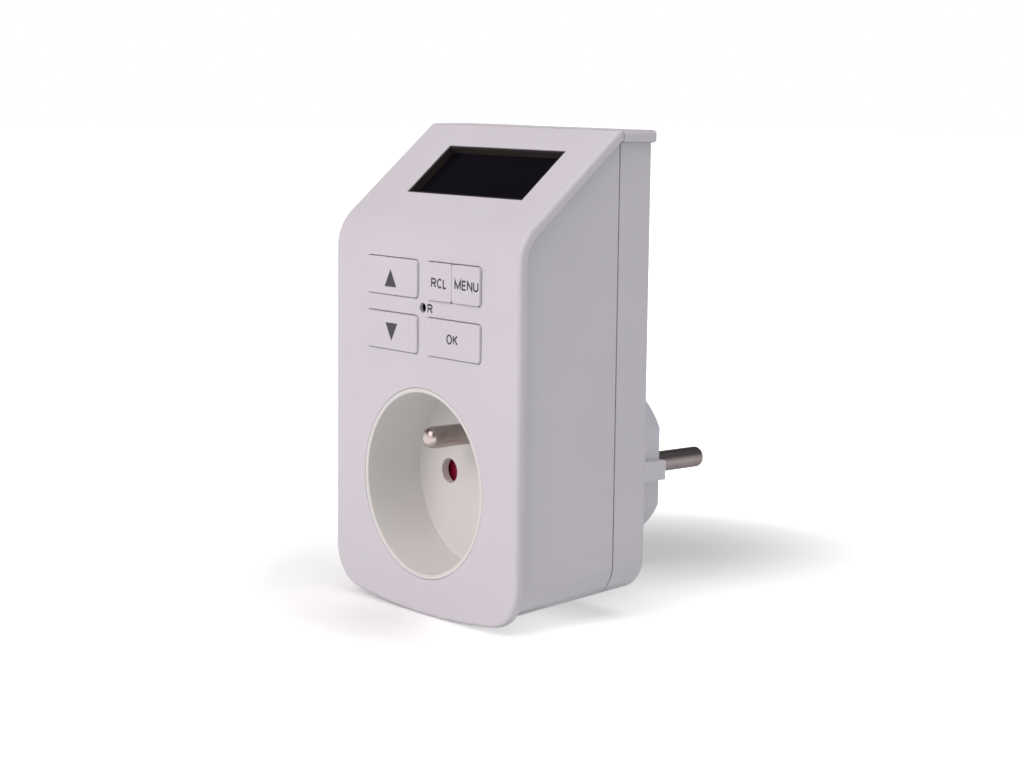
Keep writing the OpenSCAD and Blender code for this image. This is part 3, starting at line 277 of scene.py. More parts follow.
def board_group():
    """A circuit board: solder resist over faint tracks, with tinned pads."""
    tree, enter, leave = group_tree(
        "board_print",
        [("Point", "NodeSocketVector", None), ("Resist", "NodeSocketColor", (0.02, 0.12, 0.04, 1)),
         ("Track", "NodeSocketColor", (0.04, 0.22, 0.08, 1)), ("Pad", "NodeSocketColor", (0.6, 0.6, 0.58, 1))],
        [("Colour", "NodeSocketColor"), ("Pad mask", "NodeSocketFloat"), ("Height", "NodeSocketFloat")])
    turn = add_node(tree, "ShaderNodeMapping", (-820, 120))
    feed(tree, turn, {"Vector": enter["Point"], "Rotation": (math.radians(90), 0, 0)})
    tracks = add_node(tree, "ShaderNodeTexBrick", (-640, 120), offset=0.5, squash=1.0)
    feed(tree, tracks, {"Vector": turn.outputs["Vector"], "Scale": 260, "Mortar Size": 0.09,
                        "Mortar Smooth": 0.1})
    dots = add_node(tree, "ShaderNodeTexVoronoi", (-640, -180))
    feed(tree, dots, {"Vector": enter["Point"], "Scale": 390, "Randomness": 0.35})
    pad = calculate(tree, "LESS_THAN", dots.outputs["Distance"], 0.24, (-420, -180))
    resist = mixed(tree, tracks.outputs["Fac"], enter["Resist"], enter["Track"], (-200, 160))
    colour = mixed(tree, pad, resist, enter["Pad"], (60, 100))
    feed(tree, leave, {"Colour": colour, "Pad mask": pad, "Height": tracks.outputs["Fac"]})
    return tree


GROUP_MAKERS = {"moulded": moulded_group, "drawn": brushed_group, "board": board_group}
GROUPS = {}


def shared_group(name):
    """The group of that name, built when it is first asked for."""
    if name not in GROUPS:
        GROUPS[name] = GROUP_MAKERS[name]()
    return GROUPS[name]


# --- finishes ---

def start_material(name):
    """A material with its shader, and the object's own coordinates and normals to read."""
    material = bpy.data.materials.new(name)
    material.use_nodes = True
    tree = material.node_tree
    here = add_node(tree, "ShaderNodeTexCoord", (-900, 0))
    return material, tree, tree.nodes["Principled BSDF"], here.outputs


def place_group(tree, name, inputs):
    """Puts a shared group into a material and gives its outputs."""
    node = add_node(tree, "ShaderNodeGroup", (-560, 60), node_tree=shared_group(name))
    feed(tree, node, inputs)
    return node.outputs


def bump(tree, height, strength, distance):
    """Normals that follow a height."""
    node = add_node(tree, "ShaderNodeBump", (-260, -260))
    feed(tree, node, {"Strength": strength, "Distance": distance, "Height": height})
    return node.outputs["Normal"]


def plastic(name, colour, roughness=0.42, drift=0.965, grain=2600.0, depth=0.006 * MM, specular=0.5,
            painted_underside_shade=1.0):
    """Moulded plastic; drift darkens it in clouds, and painted shade darkens it where it faces the ground."""
    material, tree, shader, here = start_material(name)
    grp = place_group(tree, "moulded", {
        "Point": here["Object"], "Normal": here["Normal"], "Colour": (*colour, 1),
        "Drift": (*[c * drift for c in colour], 1), "Roughness": roughness, "Grain size": grain,
        "Painted underside shade": painted_underside_shade})
    feed(tree, shader, {"Base Color": grp["Colour"], "Roughness": grp["Roughness"],
                        "Specular IOR Level": specular, "Normal": bump(tree, grp["Height"], 0.35, depth)})
    return material


def metal(name, colour, tarnish, roughness=0.25):
    """Drawn or turned metal."""
    material, tree, shader, here = start_material(name)
    grp = place_group(tree, "drawn", {"Point": here["Object"], "Colour": (*colour, 1),
                                      "Tarnish": (*tarnish, 1), "Roughness": roughness})
    feed(tree, shader, {"Base Color": grp["Colour"], "Roughness": grp["Roughness"], "Metallic": 1.0,
                        "Normal": bump(tree, grp["Height"], 0.3, 0.004 * MM)})
    return material


def board_material(name):
    """A circuit board with metal pads."""
    material, tree, shader, here = start_material(name)
    grp = place_group(tree, "board", {"Point": here["Object"]})
    feed(tree, shader, {"Base Color": grp["Colour"], "Metallic": grp["Pad mask"], "Roughness": 0.35,
                        "Normal": bump(tree, grp["Height"], 0.4, 0.02 * MM)})
    return material


def lens_material(name):
    """Smoked display lens: dark, smooth, faintly uneven."""
    material, tree, shader, here = start_material(name)
    cloud = noise(tree, here["Object"], (-640, 0), 60, 2)
    smoke = mixed(tree, cloud, (0.0035, 0.0030, 0.0055, 1), (0.0045, 0.0040, 0.0080, 1), (-360, 120))
    rough = span(tree, cloud, (-360, -120), start=0.05, end=0.12)
    feed(tree, shader, {"Base Color": smoke, "Roughness": rough, "Specular IOR Level": 0.12})
    return material


# painted light: the plug's colour is the case's made lighter, for the shade the case casts on it
PLUG_PAINTED_LIGHT = 1.1


def build_materials(finish):
    """One material for each slot of the part, and some for single pieces."""
    case = tuple(finish.case_colour)
    # the plug takes the case's colour with painted light on it
    plug = tuple(c * PLUG_PAINTED_LIGHT for c in case)
    return {
        # the case and the plug get painted shade on their faces that look down
        "case_plastic": plastic("case_shell", case, 0.46, painted_underside_shade=0.5),
        "key_plastic": plastic("key_cap", case, 0.50),
        "plug_plastic": plastic("plug_moulding", plug, 0.40, painted_underside_shade=0.6),
        "socket_plastic": plastic("socket_insert", tuple(finish.socket_colour), 0.34),
        "shutter_plastic": plastic("shutter_red", (0.27, 0.003, 0.035), 0.35, 0.8),
        "carrier_plastic": plastic("carrier_ivory", (0.60, 0.55, 0.44), 0.5, 0.92),
        "black_plastic": plastic("black_moulding", (0.014, 0.013, 0.013), 0.42, 0.8, depth=0.01 * MM),
        "switch_body": plastic("switch_body", (0.03, 0.03, 0.032), 0.45, 0.85),
        "wire_brown": plastic("insulation_brown", (0.10, 0.035, 0.012), 0.38, 0.9),
        "wire_black": plastic("insulation_black", (0.01, 0.01, 0.01), 0.38, 0.9),
        "wire_blue": plastic("insulation_blue", (0.012, 0.06, 0.30), 0.38, 0.9),
        "ribbon": plastic("ribbon_grey", (0.30, 0.31, 0.34), 0.45, 0.85, 900),
        "strip_rubber": plastic("strip_layers", (0.06, 0.06, 0.065), 0.7, 0.6, 5200),
        "relay_plastic": plastic("relay_blue", (0.012, 0.04, 0.16), 0.30, 0.9),
        "film_box": plastic("film_yellow", (0.55, 0.38, 0.02), 0.40, 0.92),
        "can_sleeve": plastic("can_sleeve", (0.006, 0.008, 0.02), 0.25, 0.8),
        "fuse_ceramic": plastic("fuse_ceramic", (0.60, 0.55, 0.42), 0.35, 0.9),
        "varistor_coat": plastic("varistor_blue", (0.012, 0.075, 0.32), 0.30, 0.85),
        "lcd": plastic("lcd_face", (0.02, 0.024, 0.024), 0.22, 0.8),
        "lens": lens_material("display_lens_smoke"),
        "window_lining": plastic("window_lining", (0.032, 0.026, 0.026), 0.5, 0.85, specular=0.3),
        "board": board_material("board_green"),
        "nickel": metal("pin_nickel", (0.42, 0.365, 0.35), (0.28, 0.21, 0.18), 0.27),
        # the plug pins are a rougher, darker copy of the pin nickel; the darker colour is painted shade for
        # their dim reflections
        "plug_pin": metal("plug_pin", (0.25, 0.215, 0.215), (0.18, 0.135, 0.13), 0.40),
        "spring_steel": metal("clip_steel", (0.56, 0.56, 0.56), (0.35, 0.33, 0.30), 0.26),
        "zinc_steel": metal("screw_zinc", (0.55, 0.56, 0.58), (0.36, 0.36, 0.36), 0.30),
        "contact_brass": metal("contact_brass", (0.70, 0.50, 0.18), (0.38, 0.24, 0.08), 0.28),
        "cell_steel": metal("cell_cup", (0.60, 0.60, 0.60), (0.42, 0.42, 0.42), 0.30),
        "coil_copper": metal("coil_winding", (0.52, 0.17, 0.06), (0.28, 0.08, 0.03), 0.35),
        "relay_iron": metal("relay_iron", (0.30, 0.30, 0.31), (0.17, 0.16, 0.15), 0.40),
        "print": plastic("legend_print", tuple(finish.print_colour), 0.55, 0.92),
    }


FINISHES = {}
OWN_FINISH = {"display_frame": "window_lining", "live_pin": "plug_pin", "neutral_pin": "plug_pin"}


# --- meshes ---

MERGE = 0.002 * MM  # corners of a shell closer than this are one
FLAT = math.radians(0.4)  # faces that turn by less are one
SLIVER = 0.001 * MM


def merged_copy(node):
    """The node's faces as one joined shell of flat and curved patches."""
    bm = bmesh.new()
    bm.from_mesh(NODES[node].data)
    bmesh.ops.remove_doubles(bm, verts=bm.verts, dist=MERGE)
    bmesh.ops.dissolve_limit(bm, angle_limit=FLAT, verts=bm.verts, edges=bm.edges,
                             use_dissolve_boundaries=False)
    return bm


def sharp_edges(bm, degrees, test):
    """The outward edges that turn by more than an angle and pass a test."""
    limit = math.radians(degrees)
    return [e for e in bm.edges
            if len(e.link_faces) == 2 and e.calc_face_angle(0) > limit and e.is_convex and test(e)]


def round_edges(bm, edges, radius, segments, clamp):
    """Rounds edges; unclamped, neighbouring roundings may meet."""
    if edges:
        bmesh.ops.bevel(bm, geom=edges, offset=radius, offset_type="OFFSET", affect="EDGES",
                        segments=segments, profile=0.5, material=-1, clamp_overlap=clamp, loop_slide=True)


def finish_piece(bm, name, slot, body, replaced=(), smooth=32):
    """Makes a piece of a bmesh, gives it its finish and puts it on its body."""
    mesh = bpy.data.meshes.new(name)
    bm.to_mesh(mesh)
    bm.free()
    mesh.shade_smooth()
    mesh.set_sharp_from_angle(angle=math.radians(smooth))
    piece = bpy.data.objects.new(name, mesh)
    bpy.context.scene.collection.objects.link(piece)
    mesh.materials.append(FINISHES[slot])
    weighted = piece.modifiers.new("flat_faces", "WEIGHTED_NORMAL")
    weighted.keep_sharp = True
    weighted.weight = 100
    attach(piece, body)
    if replaced:
        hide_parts(*replaced)
    return piece


def rounded_node(node, name, roundings, degrees=40, clamp=True):
    """A node's shape with rounded edges, in its place; each rounding is a test, a radius and its segments."""
    bm = merged_copy(node)
    for test, radius, segments in roundings:
        round_edges(bm, sharp_edges(bm, degrees, test), radius, segments, clamp)
    bmesh.ops.dissolve_degenerate(bm, dist=SLIVER, edges=bm.edges)
    return finish_piece(bm, name, SLOT_OF[node], BODY_OF[node], (node,))


def both_ends(edge, test):
    """Do both ends of an edge pass a test of a point?"""
    return all(test(vert.co) for vert in edge.verts)


def inside_foot(point):
    """Is the point well inside the curved foot of the face: two round corners and an arch between them?"""
    x, z = abs(point.x), point.z
    if x > CORNER_MIDDLE.x:
        return (Vector((x, z)) - CORNER_MIDDLE).length < CORNER_INSIDE
    return math.hypot(x, z - (ARCH_RADIUS - ARCH_FOOT)) < ARCH_RADIUS - NEAR


def on_outline(point):
    """Is the point on the outline of the lip, at the straight sides or round the foot?"""
    if abs(point.x) > HALF_W - TOUCHING:
        return True
    return point.z < SIDES_END_Z and point.y < FACE_Y + LIP_REACH and not inside_foot(point)


def depth_inside(point):
    """How far a point lies inside the unrounded face, slant and roof."""
    face = point.y - FACE_Y
    slant = face * math.sin(SLANT) - (point.z - BEND_Z) * math.cos(SLANT)
    return min(face, slant, ROOF_Z - point.z)


def lip_roof(edge):
    """The long edge between the slanted panel and the roof."""
    return both_ends(edge, lambda p: p.z > ROOF_Z - NEAR) and edge.calc_length() > HALF_W


def lip_front(edge):
    """The lip's edge towards the front, apart from the roof's."""
    return both_ends(edge, lambda p: on_outline(p) and depth_inside(p) < LIP_MIDDLE) and not lip_roof(edge)


def lip_back(edge):
    """The lip's edge towards the side walls."""
    return both_ends(edge, lambda p: on_outline(p) and depth_inside(p) > LIP_MIDDLE)


# --- legends ---

SUNK = 0.004 * MM  # how far the print reaches into the surface
BOW_STEPS = 18  # straight pieces in the bow of a letter
LETTER_WIDTH = {"R": 0.54, "C": 0.52, "L": 0.36, "M": 0.62, "E": 0.40, "N": 0.48, "U": 0.48, "O": 0.56,
                "K": 0.48}
LETTER_GAP = 0.08
STROKE_JOIN = 0.01 * MM  # ends of strokes closer than this are one

# name, body, middle, foot, width and height in millimetres, and whether it points up
ARROWS = (
    ("arrow_up", "up_key", -10.95, 42.35, 4.3, 3.95, True),
    ("arrow_down", "down_key", -10.55, 30.45, 4.35, 3.95, False),
)
# word, body, left, right, foot and head in millimetres, and the face that it is printed on
WORDS = (
    ("RCL", "recall_key", 3.65, 9.05, 43.35, 45.5, KEY_FACE_Y),
    ("MENU", "menu_key", 11.75, 19.85, 43.55, 45.7, KEY_FACE_Y),
    ("OK", "ok_key", 9.1, 13.0, 31.65, 33.85, KEY_FACE_Y),
    ("R", "case", 1.65, 3.45, 37.6, 39.65, FACE_Y),
)


def pen_line(bm, *points):
    """A wire through some points of a letter's box, which is 1 wide and 1 high."""
    verts = [bm.verts.new((x, 0, z)) for x, z in points]
    for start, end in zip(verts, verts[1:]):
        bm.edges.new((start, end))


def pen_bow(bm, x, z, wide, high, start, sweep):
    """A wire round part of an ellipse, angles in degrees."""
    older = set(bm.verts)
    first = bm.verts.new((math.cos(math.radians(start)), 0, math.sin(math.radians(start))))
    bmesh.ops.spin(bm, geom=[first], cent=(0, 0, 0), axis=(0, -1, 0), angle=math.radians(sweep),
                   steps=BOW_STEPS, use_merge=abs(sweep) == 360)
    verts = [v for v in bm.verts if v not in older]
    bmesh.ops.scale(bm, verts=verts, vec=(wide, 1, high))
    bmesh.ops.translate(bm, verts=verts, vec=(x, 0, z))


def draw_letter(letter):
    """The centre lines of a plain capital as wires."""
    bm = bmesh.new()
    if letter == "R":
        pen_line(bm, (0.5, 1), (0, 1), (0, 0.5), (0, 0))
        pen_line(bm, (0, 0.5), (0.5, 0.5), (1, 0))
        pen_bow(bm, 0.5, 0.75, 0.5, 0.25, -90, 180)
    elif letter == "C":
        pen_bow(bm, 0.55, 0.5, 0.55, 0.5, 48, 264)
    elif letter == "L":
        pen_line(bm, (0, 1), (0, 0), (1, 0))
    elif letter == "M":
        pen_line(bm, (0, 0), (0, 1), (0.5, 0.1), (1, 1), (1, 0))
    elif letter == "E":
        pen_line(bm, (1, 1), (0, 1), (0, 0.52), (0, 0), (1, 0))
        pen_line(bm, (0, 0.52), (0.9, 0.52))
    elif letter == "N":
        pen_line(bm, (0, 0), (0, 1), (1, 0), (1, 1))
    elif letter == "U":
        pen_line(bm, (0, 1), (0, 0.3))
        pen_bow(bm, 0.5, 0.3, 0.5, 0.3, 180, 180)
        pen_line(bm, (1, 0.3), (1, 1))
    elif letter == "O":
        pen_bow(bm, 0.5, 0.5, 0.5, 0.5, 90, 360)
    elif letter == "K":
        pen_line(bm, (0, 0), (0, 0.38), (0, 1))
        pen_line(bm, (0, 0.38), (0.34, 0.59), (1, 1))
        pen_line(bm, (0.34, 0.59), (1, 0))
    return bm


def legend_text(words, centre_x, low_z, height, width, surface_y, rise, stroke):
    """The centre lines of plain capitals, drawn out of a face that looks along -Y."""
    bm = bmesh.new()
    total = sum(LETTER_WIDTH[c] for c in words) + LETTER_GAP * (len(words) - 1)
    scale = (width - stroke * len(words)) / total
    x = centre_x - width / 2
    for letter in words:
        wide = LETTER_WIDTH[letter] * scale
        glyph = draw_letter(letter)
        bmesh.ops.scale(glyph, verts=glyph.verts, vec=(wide, 1, height - stroke))
        bmesh.ops.translate(glyph, verts=glyph.verts,
                            vec=(x + stroke / 2, surface_y + SUNK, low_z + stroke / 2))
        bmesh.ops.remove_doubles(glyph, verts=glyph.verts, dist=STROKE_JOIN)
        made = bmesh.ops.extrude_edge_only(glyph, edges=list(glyph.edges))
        moved = [g for g in made["geom"] if isinstance(g, bmesh.types.BMVert)]
        bmesh.ops.translate(glyph, verts=moved, vec=(0, -rise - SUNK, 0))
        mesh = bpy.data.meshes.new("glyph")
        glyph.to_mesh(mesh)
        glyph.free()
        bm.from_mesh(mesh)
        bpy.data.meshes.remove(mesh)
        x += wide + stroke + LETTER_GAP * scale
    return bm


def widen_strokes(piece, stroke):
    """Gives the drawn-out centre lines the width of a stroke."""
    widen = piece.modifiers.new("stroke", "SOLIDIFY")
    widen.solidify_mode = "NON_MANIFOLD"
    widen.nonmanifold_thickness_mode = "CONSTRAINTS"
    widen.nonmanifold_merge_threshold = SLIVER
    widen.thickness = stroke
    widen.offset = 0
    piece.modifiers.move(len(piece.modifiers) - 1, 0)


def stand_up(bm, rise):
    """Turns flat faces in XY to look along -Y and gives them a thickness, a little sunk into the surface."""
    bmesh.ops.rotate(bm, verts=bm.verts, cent=(0, 0, 0), matrix=Matrix.Rotation(math.radians(90), 3, "X"))
    bmesh.ops.recalc_face_normals(bm, faces=bm.faces)
    if sum(f.normal.y for f in bm.faces) > 0:
        bmesh.ops.reverse_faces(bm, faces=bm.faces)
    made = bmesh.ops.extrude_face_region(bm, geom=list(bm.faces), use_keep_orig=True)
    moved = [g for g in made["geom"] if isinstance(g, bmesh.types.BMVert)]
    bmesh.ops.translate(bm, verts=moved, vec=(0, -rise, 0))
    bmesh.ops.recalc_face_normals(bm, faces=bm.faces)
    bmesh.ops.translate(bm, verts=bm.verts, vec=(0, SUNK, 0))


def legend_arrow(centre_x, low_z, width, height, up, surface_y, rise):
    """A filled triangle on a face that looks along -Y."""
    bm = bmesh.new()
    bmesh.ops.create_circle(bm, cap_ends=True, radius=1, segments=3)
    bmesh.ops.rotate(bm, verts=bm.verts, cent=(0, 0, 0),
                     matrix=Matrix.Rotation(math.radians(0 if up else 180), 3, "Z"))
    xs = [v.co.x for v in bm.verts]
    ys = [v.co.y for v in bm.verts]
    bmesh.ops.translate(bm, verts=bm.verts, vec=(-(max(xs) + min(xs)) / 2, -min(ys), 0))
    bmesh.ops.scale(bm, verts=bm.verts,
                    vec=(width / (max(xs) - min(xs)), height / (max(ys) - min(ys)), 1))
    stand_up(bm, rise)
    bmesh.ops.translate(bm, verts=bm.verts, vec=(centre_x, surface_y, low_z))
    return bm


# --- floor, lamps, room and camera ---

AIM = (0, -30 * MM, 20 * MM)
KEY_LAMP_AT, KEY_LAMP_SIZE = (0.0, -1.1, 0.78), 1.0
TOP_LAMP_AT, TOP_LAMP_SIZE = (0.3, 0.05, 1.0), 0.9
WHITE = (1, 1, 1)
CAMERA_AT = Vector((378.683, -345.005, 87.901)) * MM
CAMERA_TURN = (50.291, 7.852, 0.661)  # degrees: yaw, pitch down and roll
SENSOR_WIDTH = 36
CLIP = (0.01, 20)

FLOOR_HALF = 4  # half the side of the floor, in metres
FLOOR_COLOUR = (0.885, 0.905, 0.905, 1)
# painted light and painted shade on the floor round the foot, added to its glow: middle, radius, level at the
# middle
PAINTED_FLOOR_PATCHES = (
    ((19 * MM, -41 * MM), 35 * MM, 0.38),
    ((0, -60 * MM), 34 * MM, -0.18),
)
# the soft shadow behind, the lamps' own shadow deepened by a painted shadow where the floor's glow dips: where
# it sets in, its middle and radius, and the floor's glow from there outwards
SHADOW_FRONT, SHADOW_BACK = -40 * MM, 15 * MM
SHADOW_MIDDLE = (-28 * MM, 34 * MM)
SHADOW_RADIUS = 78 * MM
SHADOW_GLOW = (0.01, 0.6)

# what mirrors see of the room: white walls up to one steepness of the gaze, a dim ceiling from another
WALL_TOP, CEILING_START = 0.12, 0.45
CEILING_LEVEL = 0.06


def area_lamp(name, place, size, power, colour):
    """A square soft lamp turned towards the object."""
    data = bpy.data.lights.new(name, "AREA")
    data.shape = "RECTANGLE"
    data.size = data.size_y = size
    data.energy = power
    data.color = colour
    lamp = bpy.data.objects.new(name, data)
    bpy.context.scene.collection.objects.link(lamp)
    lamp.location = place
    lamp.rotation_euler = (Vector(AIM) - Vector(place)).to_track_quat("-Z", "Y").to_euler()


def seen_mask(tree, where):
    """One for camera, mirror and glass rays, nought for the light that falls on things."""
    path = add_node(tree, "ShaderNodeLightPath", (where[0] - 400, where[1])).outputs
    seen = calculate(tree, "MAXIMUM", path["Is Camera Ray"], path["Is Glossy Ray"],
                     (where[0] - 200, where[1]))
    return calculate(tree, "MAXIMUM", seen, path["Is Transmission Ray"], where)


def floor_white(stage):
    """A pale matte floor that takes the object's shadow and glows up to plain white further out, with painted
    light, painted shade and a painted shadow in its glow round the foot.
    """
    material = bpy.data.materials.new("floor_white")
    material.use_nodes = True
    tree = material.node_tree
    tree.nodes.clear()
    point = add_node(tree, "ShaderNodeTexCoord", (-1100, -320)).outputs["Object"]

    def away(middle, where):
        """How far the floor's point lies from a place on it."""
        node = add_node(tree, "ShaderNodeVectorMath", where, operation="DISTANCE")
        feed(tree, node, {0: point, 1: (*middle, FLOOR_Z)})
        return node.outputs["Value"]

    front = stage.near_glow
    # painted light and painted shade laid into the floor's glow round the foot
    for row, (middle, radius, amount) in enumerate(PAINTED_FLOOR_PATCHES):
        across = 60 + 300 * row
        patch = span(tree, away(middle, (-900, across)), (-700, across), 0, radius, amount, 0, "SMOOTHSTEP")
        front = calculate(tree, "ADD", front, patch, (-480, across))
    # painted shadow: the floor's glow dips round the middle of the shadow behind
    shadow = span(tree, away(SHADOW_MIDDLE, (-900, -320)), (-700, -320), 0, SHADOW_RADIUS, *SHADOW_GLOW,
                  "SMOOTHSTEP")
    parts = add_node(tree, "ShaderNodeSeparateXYZ", (-900, -620))
    feed(tree, parts, {0: point})
    behind = span(tree, parts.outputs["Y"], (-700, -620), SHADOW_FRONT, SHADOW_BACK, curve="SMOOTHSTEP")
    near = mixed(tree, behind, front, shadow, (-480, -420), "FLOAT")
    far = span(tree, away((0, 0), (-900, -900)), (-700, -900), stage.glow_start, stage.glow_end,
               curve="SMOOTHSTEP")
    glow = calculate(tree, "ADD", near, far, (-240, -420), clamp=True)
    level = calculate(tree, "MULTIPLY", seen_mask(tree, (-200, -100)), glow, (0, -100))

    matte = add_node(tree, "ShaderNodeBsdfDiffuse", (200, 150))
    feed(tree, matte, {"Color": FLOOR_COLOUR})
    light = add_node(tree, "ShaderNodeEmission", (200, -60))
    feed(tree, light, {"Strength": level})
    both = add_node(tree, "ShaderNodeAddShader", (460, 50))
    feed(tree, both, {0: matte.outputs[0], 1: light.outputs[0]})
    leave = add_node(tree, "ShaderNodeOutputMaterial", (700, 0))
    feed(tree, leave, {"Surface": both.outputs[0]})
    return material


def white_world(strength):
    """Plain soft light from all round; the camera, mirrors and glass see white walls under a dim ceiling."""
    world = bpy.data.worlds.new("studio")
    bpy.context.scene.world = world
    world.use_nodes = True
    tree = world.node_tree
    direction = add_node(tree, "ShaderNodeTexCoord", (-1200, -260))
    parts = add_node(tree, "ShaderNodeSeparateXYZ", (-1000, -260))
    feed(tree, parts, {0: direction.outputs["Generated"]})
    walls = span(tree, parts.outputs["Z"], (-800, -260), WALL_TOP, CEILING_START, 1, CEILING_LEVEL,
                 "SMOOTHSTEP")
    path = add_node(tree, "ShaderNodeLightPath", (-1200, 120)).outputs
    direct = calculate(tree, "MAXIMUM", path["Is Camera Ray"], path["Is Transmission Ray"], (-980, 120))
    mirror = mixed(tree, path["Is Glossy Ray"], strength, walls, (-600, 0), "FLOAT")
    level = mixed(tree, direct, mirror, 1, (-300, 0), "FLOAT")
    feed(tree, tree.nodes["Background"], {"Color": (*WHITE, 1), "Strength": level})


def camera_matrix():
    """Where the camera stands and how it is turned."""
    yaw, pitch, roll = (math.radians(a) for a in CAMERA_TURN)
    look = Vector((-math.sin(yaw) * math.cos(pitch), math.cos(yaw) * math.cos(pitch), -math.sin(pitch)))
    side = Vector((math.cos(yaw), math.sin(yaw), 0))
    above = side.cross(look)
    right = math.cos(roll) * side + math.sin(roll) * above
    up = -math.sin(roll) * side + math.cos(roll) * above
    matrix = Matrix((right, up, -look)).transposed().to_4x4()
    matrix.translation = CAMERA_AT
    return matrix


# --- operators ---

class TimerOperator:
    """What all the operators share"""
    bl_options = {"REGISTER", "UNDO"}


class OBJECT_OT_timer_finishes(TimerOperator, bpy.types.Operator):
    """Make the finishes and give them to the carried-over parts"""
    bl_idname = "object.timer_finishes"
    bl_label = "Finishes"

    def execute(self, context):
        FINISHES.update(build_materials(context.scene.timer_finish))
        for node, obj in NODES.items():
            material = FINISHES[OWN_FINISH.get(node, SLOT_OF[node])]
            if not obj.material_slots:
                obj.data.materials.append(material)
            for holder in obj.material_slots:
                holder.material = material
        return {"FINISHED"}


class OBJECT_OT_timer_case(TimerOperator, bpy.types.Operator):
    """Build the two covers with rounded lips and edges"""
    bl_idname = "object.timer_case"
    bl_label = "Case"

    def execute(self, context):
        def at_back(edge):
            return both_ends(edge, lambda p: p.y > BACK_Y)

        shape = context.scene.timer_shape
        rounded_node("front_cover", "front_shell",
                     [(lip_front, shape.lip_round, 6), (lip_back, shape.lip_back_round, 3),
                      (lip_roof, shape.roof_round, 3)], clamp=False)
        rounded_node("rear_cover", "rear_shell", [(at_back, shape.edge_round, 3)], degrees=50)
        return {"FINISHED"}


class OBJECT_OT_timer_keys(TimerOperator, bpy.types.Operator):
    """Build the key caps with rounded edges"""
    bl_idname = "object.timer_keys"
    bl_label = "Keys"

    def execute(self, context):
        split_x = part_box("key_menu")[0].x
        radius = context.scene.timer_shape.key_round

        def in_front(edge):
            return both_ends(edge, lambda p: p.y < FACE_Y - KEY_PROUD)

        def at_split(edge):
            return both_ends(edge, lambda p: abs(p.x - split_x) < KEY_SPLIT_REACH)

        for node in ("key_up", "key_down", "key_recall", "key_menu", "key_ok"):
            rounded_node(node, node.replace("key_", "cap_"),
                         [(lambda e: in_front(e) and not at_split(e), radius, 3)])
        return {"FINISHED"}


class OBJECT_OT_timer_legends(TimerOperator, bpy.types.Operator):
    """Print arrows and plain function words on the keys"""
    bl_idname = "object.timer_legends"
    bl_label = "Legends"

    def execute(self, context):
        rise = context.scene.timer_shape.legend_rise
        stroke = context.scene.timer_shape.legend_stroke
        for name, body, centre, low, width, height, up in ARROWS:
            bm = legend_arrow(centre * MM, low * MM, width * MM, height * MM, up, KEY_FACE_Y, rise)
            finish_piece(bm, name, "print", body)
        for words, body, left, right, low, high, surface_y in WORDS:
            bm = legend_text(words, (left + right) / 2 * MM, low * MM, (high - low) * MM,
                             (right - left) * MM, surface_y, rise, stroke)
            widen_strokes(finish_piece(bm, "legend_" + words.lower(), "print", body), stroke)
        return {"FINISHED"}


class OBJECT_OT_timer_socket(TimerOperator, bpy.types.Operator):
    """Build the socket insert with a rounded rim"""
    bl_idname = "object.timer_socket"
    bl_label = "Socket"

    def execute(self, context):
        def at_rim(edge):
            return both_ends(edge, lambda p: p.y < FACE_Y + NEAR)

        def outside(edge):
            return both_ends(edge, lambda p: math.hypot(p.x, p.z) > RIM_MIDDLE)

        def at_pin_hole(edge):
            return both_ends(edge, lambda p: math.hypot(abs(p.x) - PIN_X, p.z) < PIN_HOLE_REACH
                             and p.y < RECESS_FLOOR_Y)

        rounded_node("socket_insert", "socket_cup",
                     [(lambda e: at_rim(e) and not outside(e), RIM_ROUND, 3),
                      (lambda e: at_rim(e) and outside(e), RIM_OUTSIDE_ROUND, 3),
                      (at_pin_hole, PIN_HOLE_ROUND, 3)])
        return {"FINISHED"}


class OBJECT_OT_timer_plug(TimerOperator, bpy.types.Operator):
    """Build the plug body with rounded edges"""
    bl_idname = "object.timer_plug"
    bl_label = "Plug"

    def execute(self, context):
        def at_end_or_rib(edge):
            return both_ends(edge, lambda p: p.y > PLUG_END_Y or p.y > PLUG_FOOT_Y and abs(p.x) > PLUG_RIB_X)

        rounded_node("plug_body", "plug_shell", [(at_end_or_rib, context.scene.timer_shape.plug_round, 4)],
                     degrees=50, clamp=False)
        return {"FINISHED"}


class OBJECT_OT_timer_spring(TimerOperator, bpy.types.Operator):
    """Build the shutter's return spring"""
    bl_idname = "object.timer_spring"
    bl_label = "Return spring"

    def execute(self, context):
        node = "shutter_spring"
        spring = finish_piece(merged_copy(node), "return_spring", SLOT_OF[node], BODY_OF[node], (node,), 60)
        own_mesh(spring)
        return {"FINISHED"}


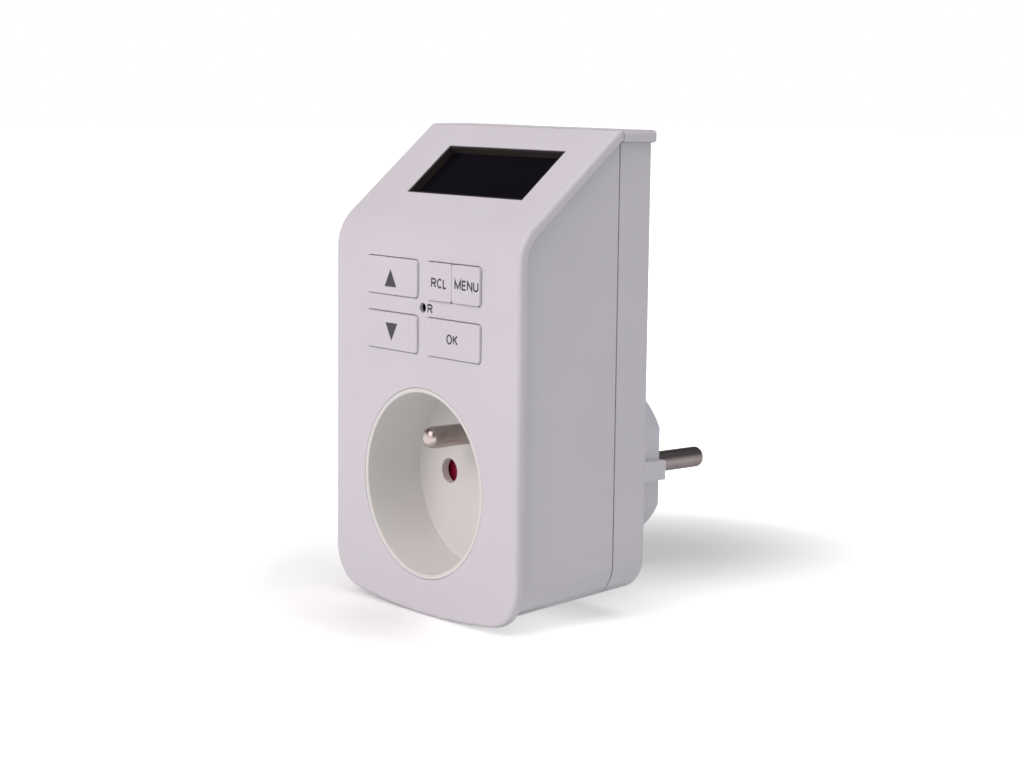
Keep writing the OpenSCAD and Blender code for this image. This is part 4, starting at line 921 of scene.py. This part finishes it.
class OBJECT_OT_timer_stage(TimerOperator, bpy.types.Operator):
    """Set the floor, the lamps and the camera"""
    bl_idname = "object.timer_stage"
    bl_label = "Stage"

    def execute(self, context):
        stage = context.scene.timer_stage
        context.scene.view_settings.view_transform = "Standard"
        bm = bmesh.new()
        bmesh.ops.create_grid(bm, x_segments=1, y_segments=1, size=FLOOR_HALF)
        bmesh.ops.translate(bm, verts=bm.verts, vec=(0, 0, FLOOR_Z))
        mesh = bpy.data.meshes.new("floor")
        bm.to_mesh(mesh)
        bm.free()
        floor = bpy.data.objects.new("floor", mesh)
        context.scene.collection.objects.link(floor)
        mesh.materials.append(floor_white(stage))
        white_world(stage.sky)
        area_lamp("key_lamp", KEY_LAMP_AT, KEY_LAMP_SIZE, stage.key_power, tuple(stage.key_colour))
        area_lamp("top_lamp", TOP_LAMP_AT, TOP_LAMP_SIZE, stage.top_power, WHITE)
        camera = bpy.data.objects.new("camera", bpy.data.cameras.new("camera"))
        context.scene.collection.objects.link(camera)
        camera.data.lens = stage.lens
        camera.data.sensor_width = SENSOR_WIDTH
        camera.data.clip_start, camera.data.clip_end = CLIP
        camera.matrix_world = camera_matrix()
        context.scene.camera = camera
        return {"FINISHED"}


# --- panel and registration ---

class VIEW3D_PT_timer(bpy.types.Panel):
    """The steps in the order in which they run"""
    bl_label = "Timer"
    bl_idname = "VIEW3D_PT_timer"
    bl_space_type = "VIEW_3D"
    bl_region_type = "UI"
    bl_category = "Timer"

    def draw(self, context):
        for operator in OPERATORS:
            self.layout.operator(operator.bl_idname)


OPERATORS = (
    OBJECT_OT_timer_finishes,
    OBJECT_OT_timer_case,
    OBJECT_OT_timer_keys,
    OBJECT_OT_timer_legends,
    OBJECT_OT_timer_socket,
    OBJECT_OT_timer_plug,
    OBJECT_OT_timer_spring,
    OBJECT_OT_timer_stage,
)
CLASSES = (TimerShape, TimerFinish, TimerStage, *OPERATORS, VIEW3D_PT_timer)


def register():
    for cls in CLASSES:
        bpy.utils.register_class(cls)
    bpy.types.Scene.timer_shape = PointerProperty(type=TimerShape)
    bpy.types.Scene.timer_finish = PointerProperty(type=TimerFinish)
    bpy.types.Scene.timer_stage = PointerProperty(type=TimerStage)


def unregister():
    del bpy.types.Scene.timer_stage
    del bpy.types.Scene.timer_finish
    del bpy.types.Scene.timer_shape
    for cls in reversed(CLASSES):
        bpy.utils.unregister_class(cls)


def main():
    register()
    for operator in OPERATORS:
        space, name = operator.bl_idname.split(".")
        getattr(getattr(bpy.ops, space), name)()


if __name__ == "__main__":
    main()
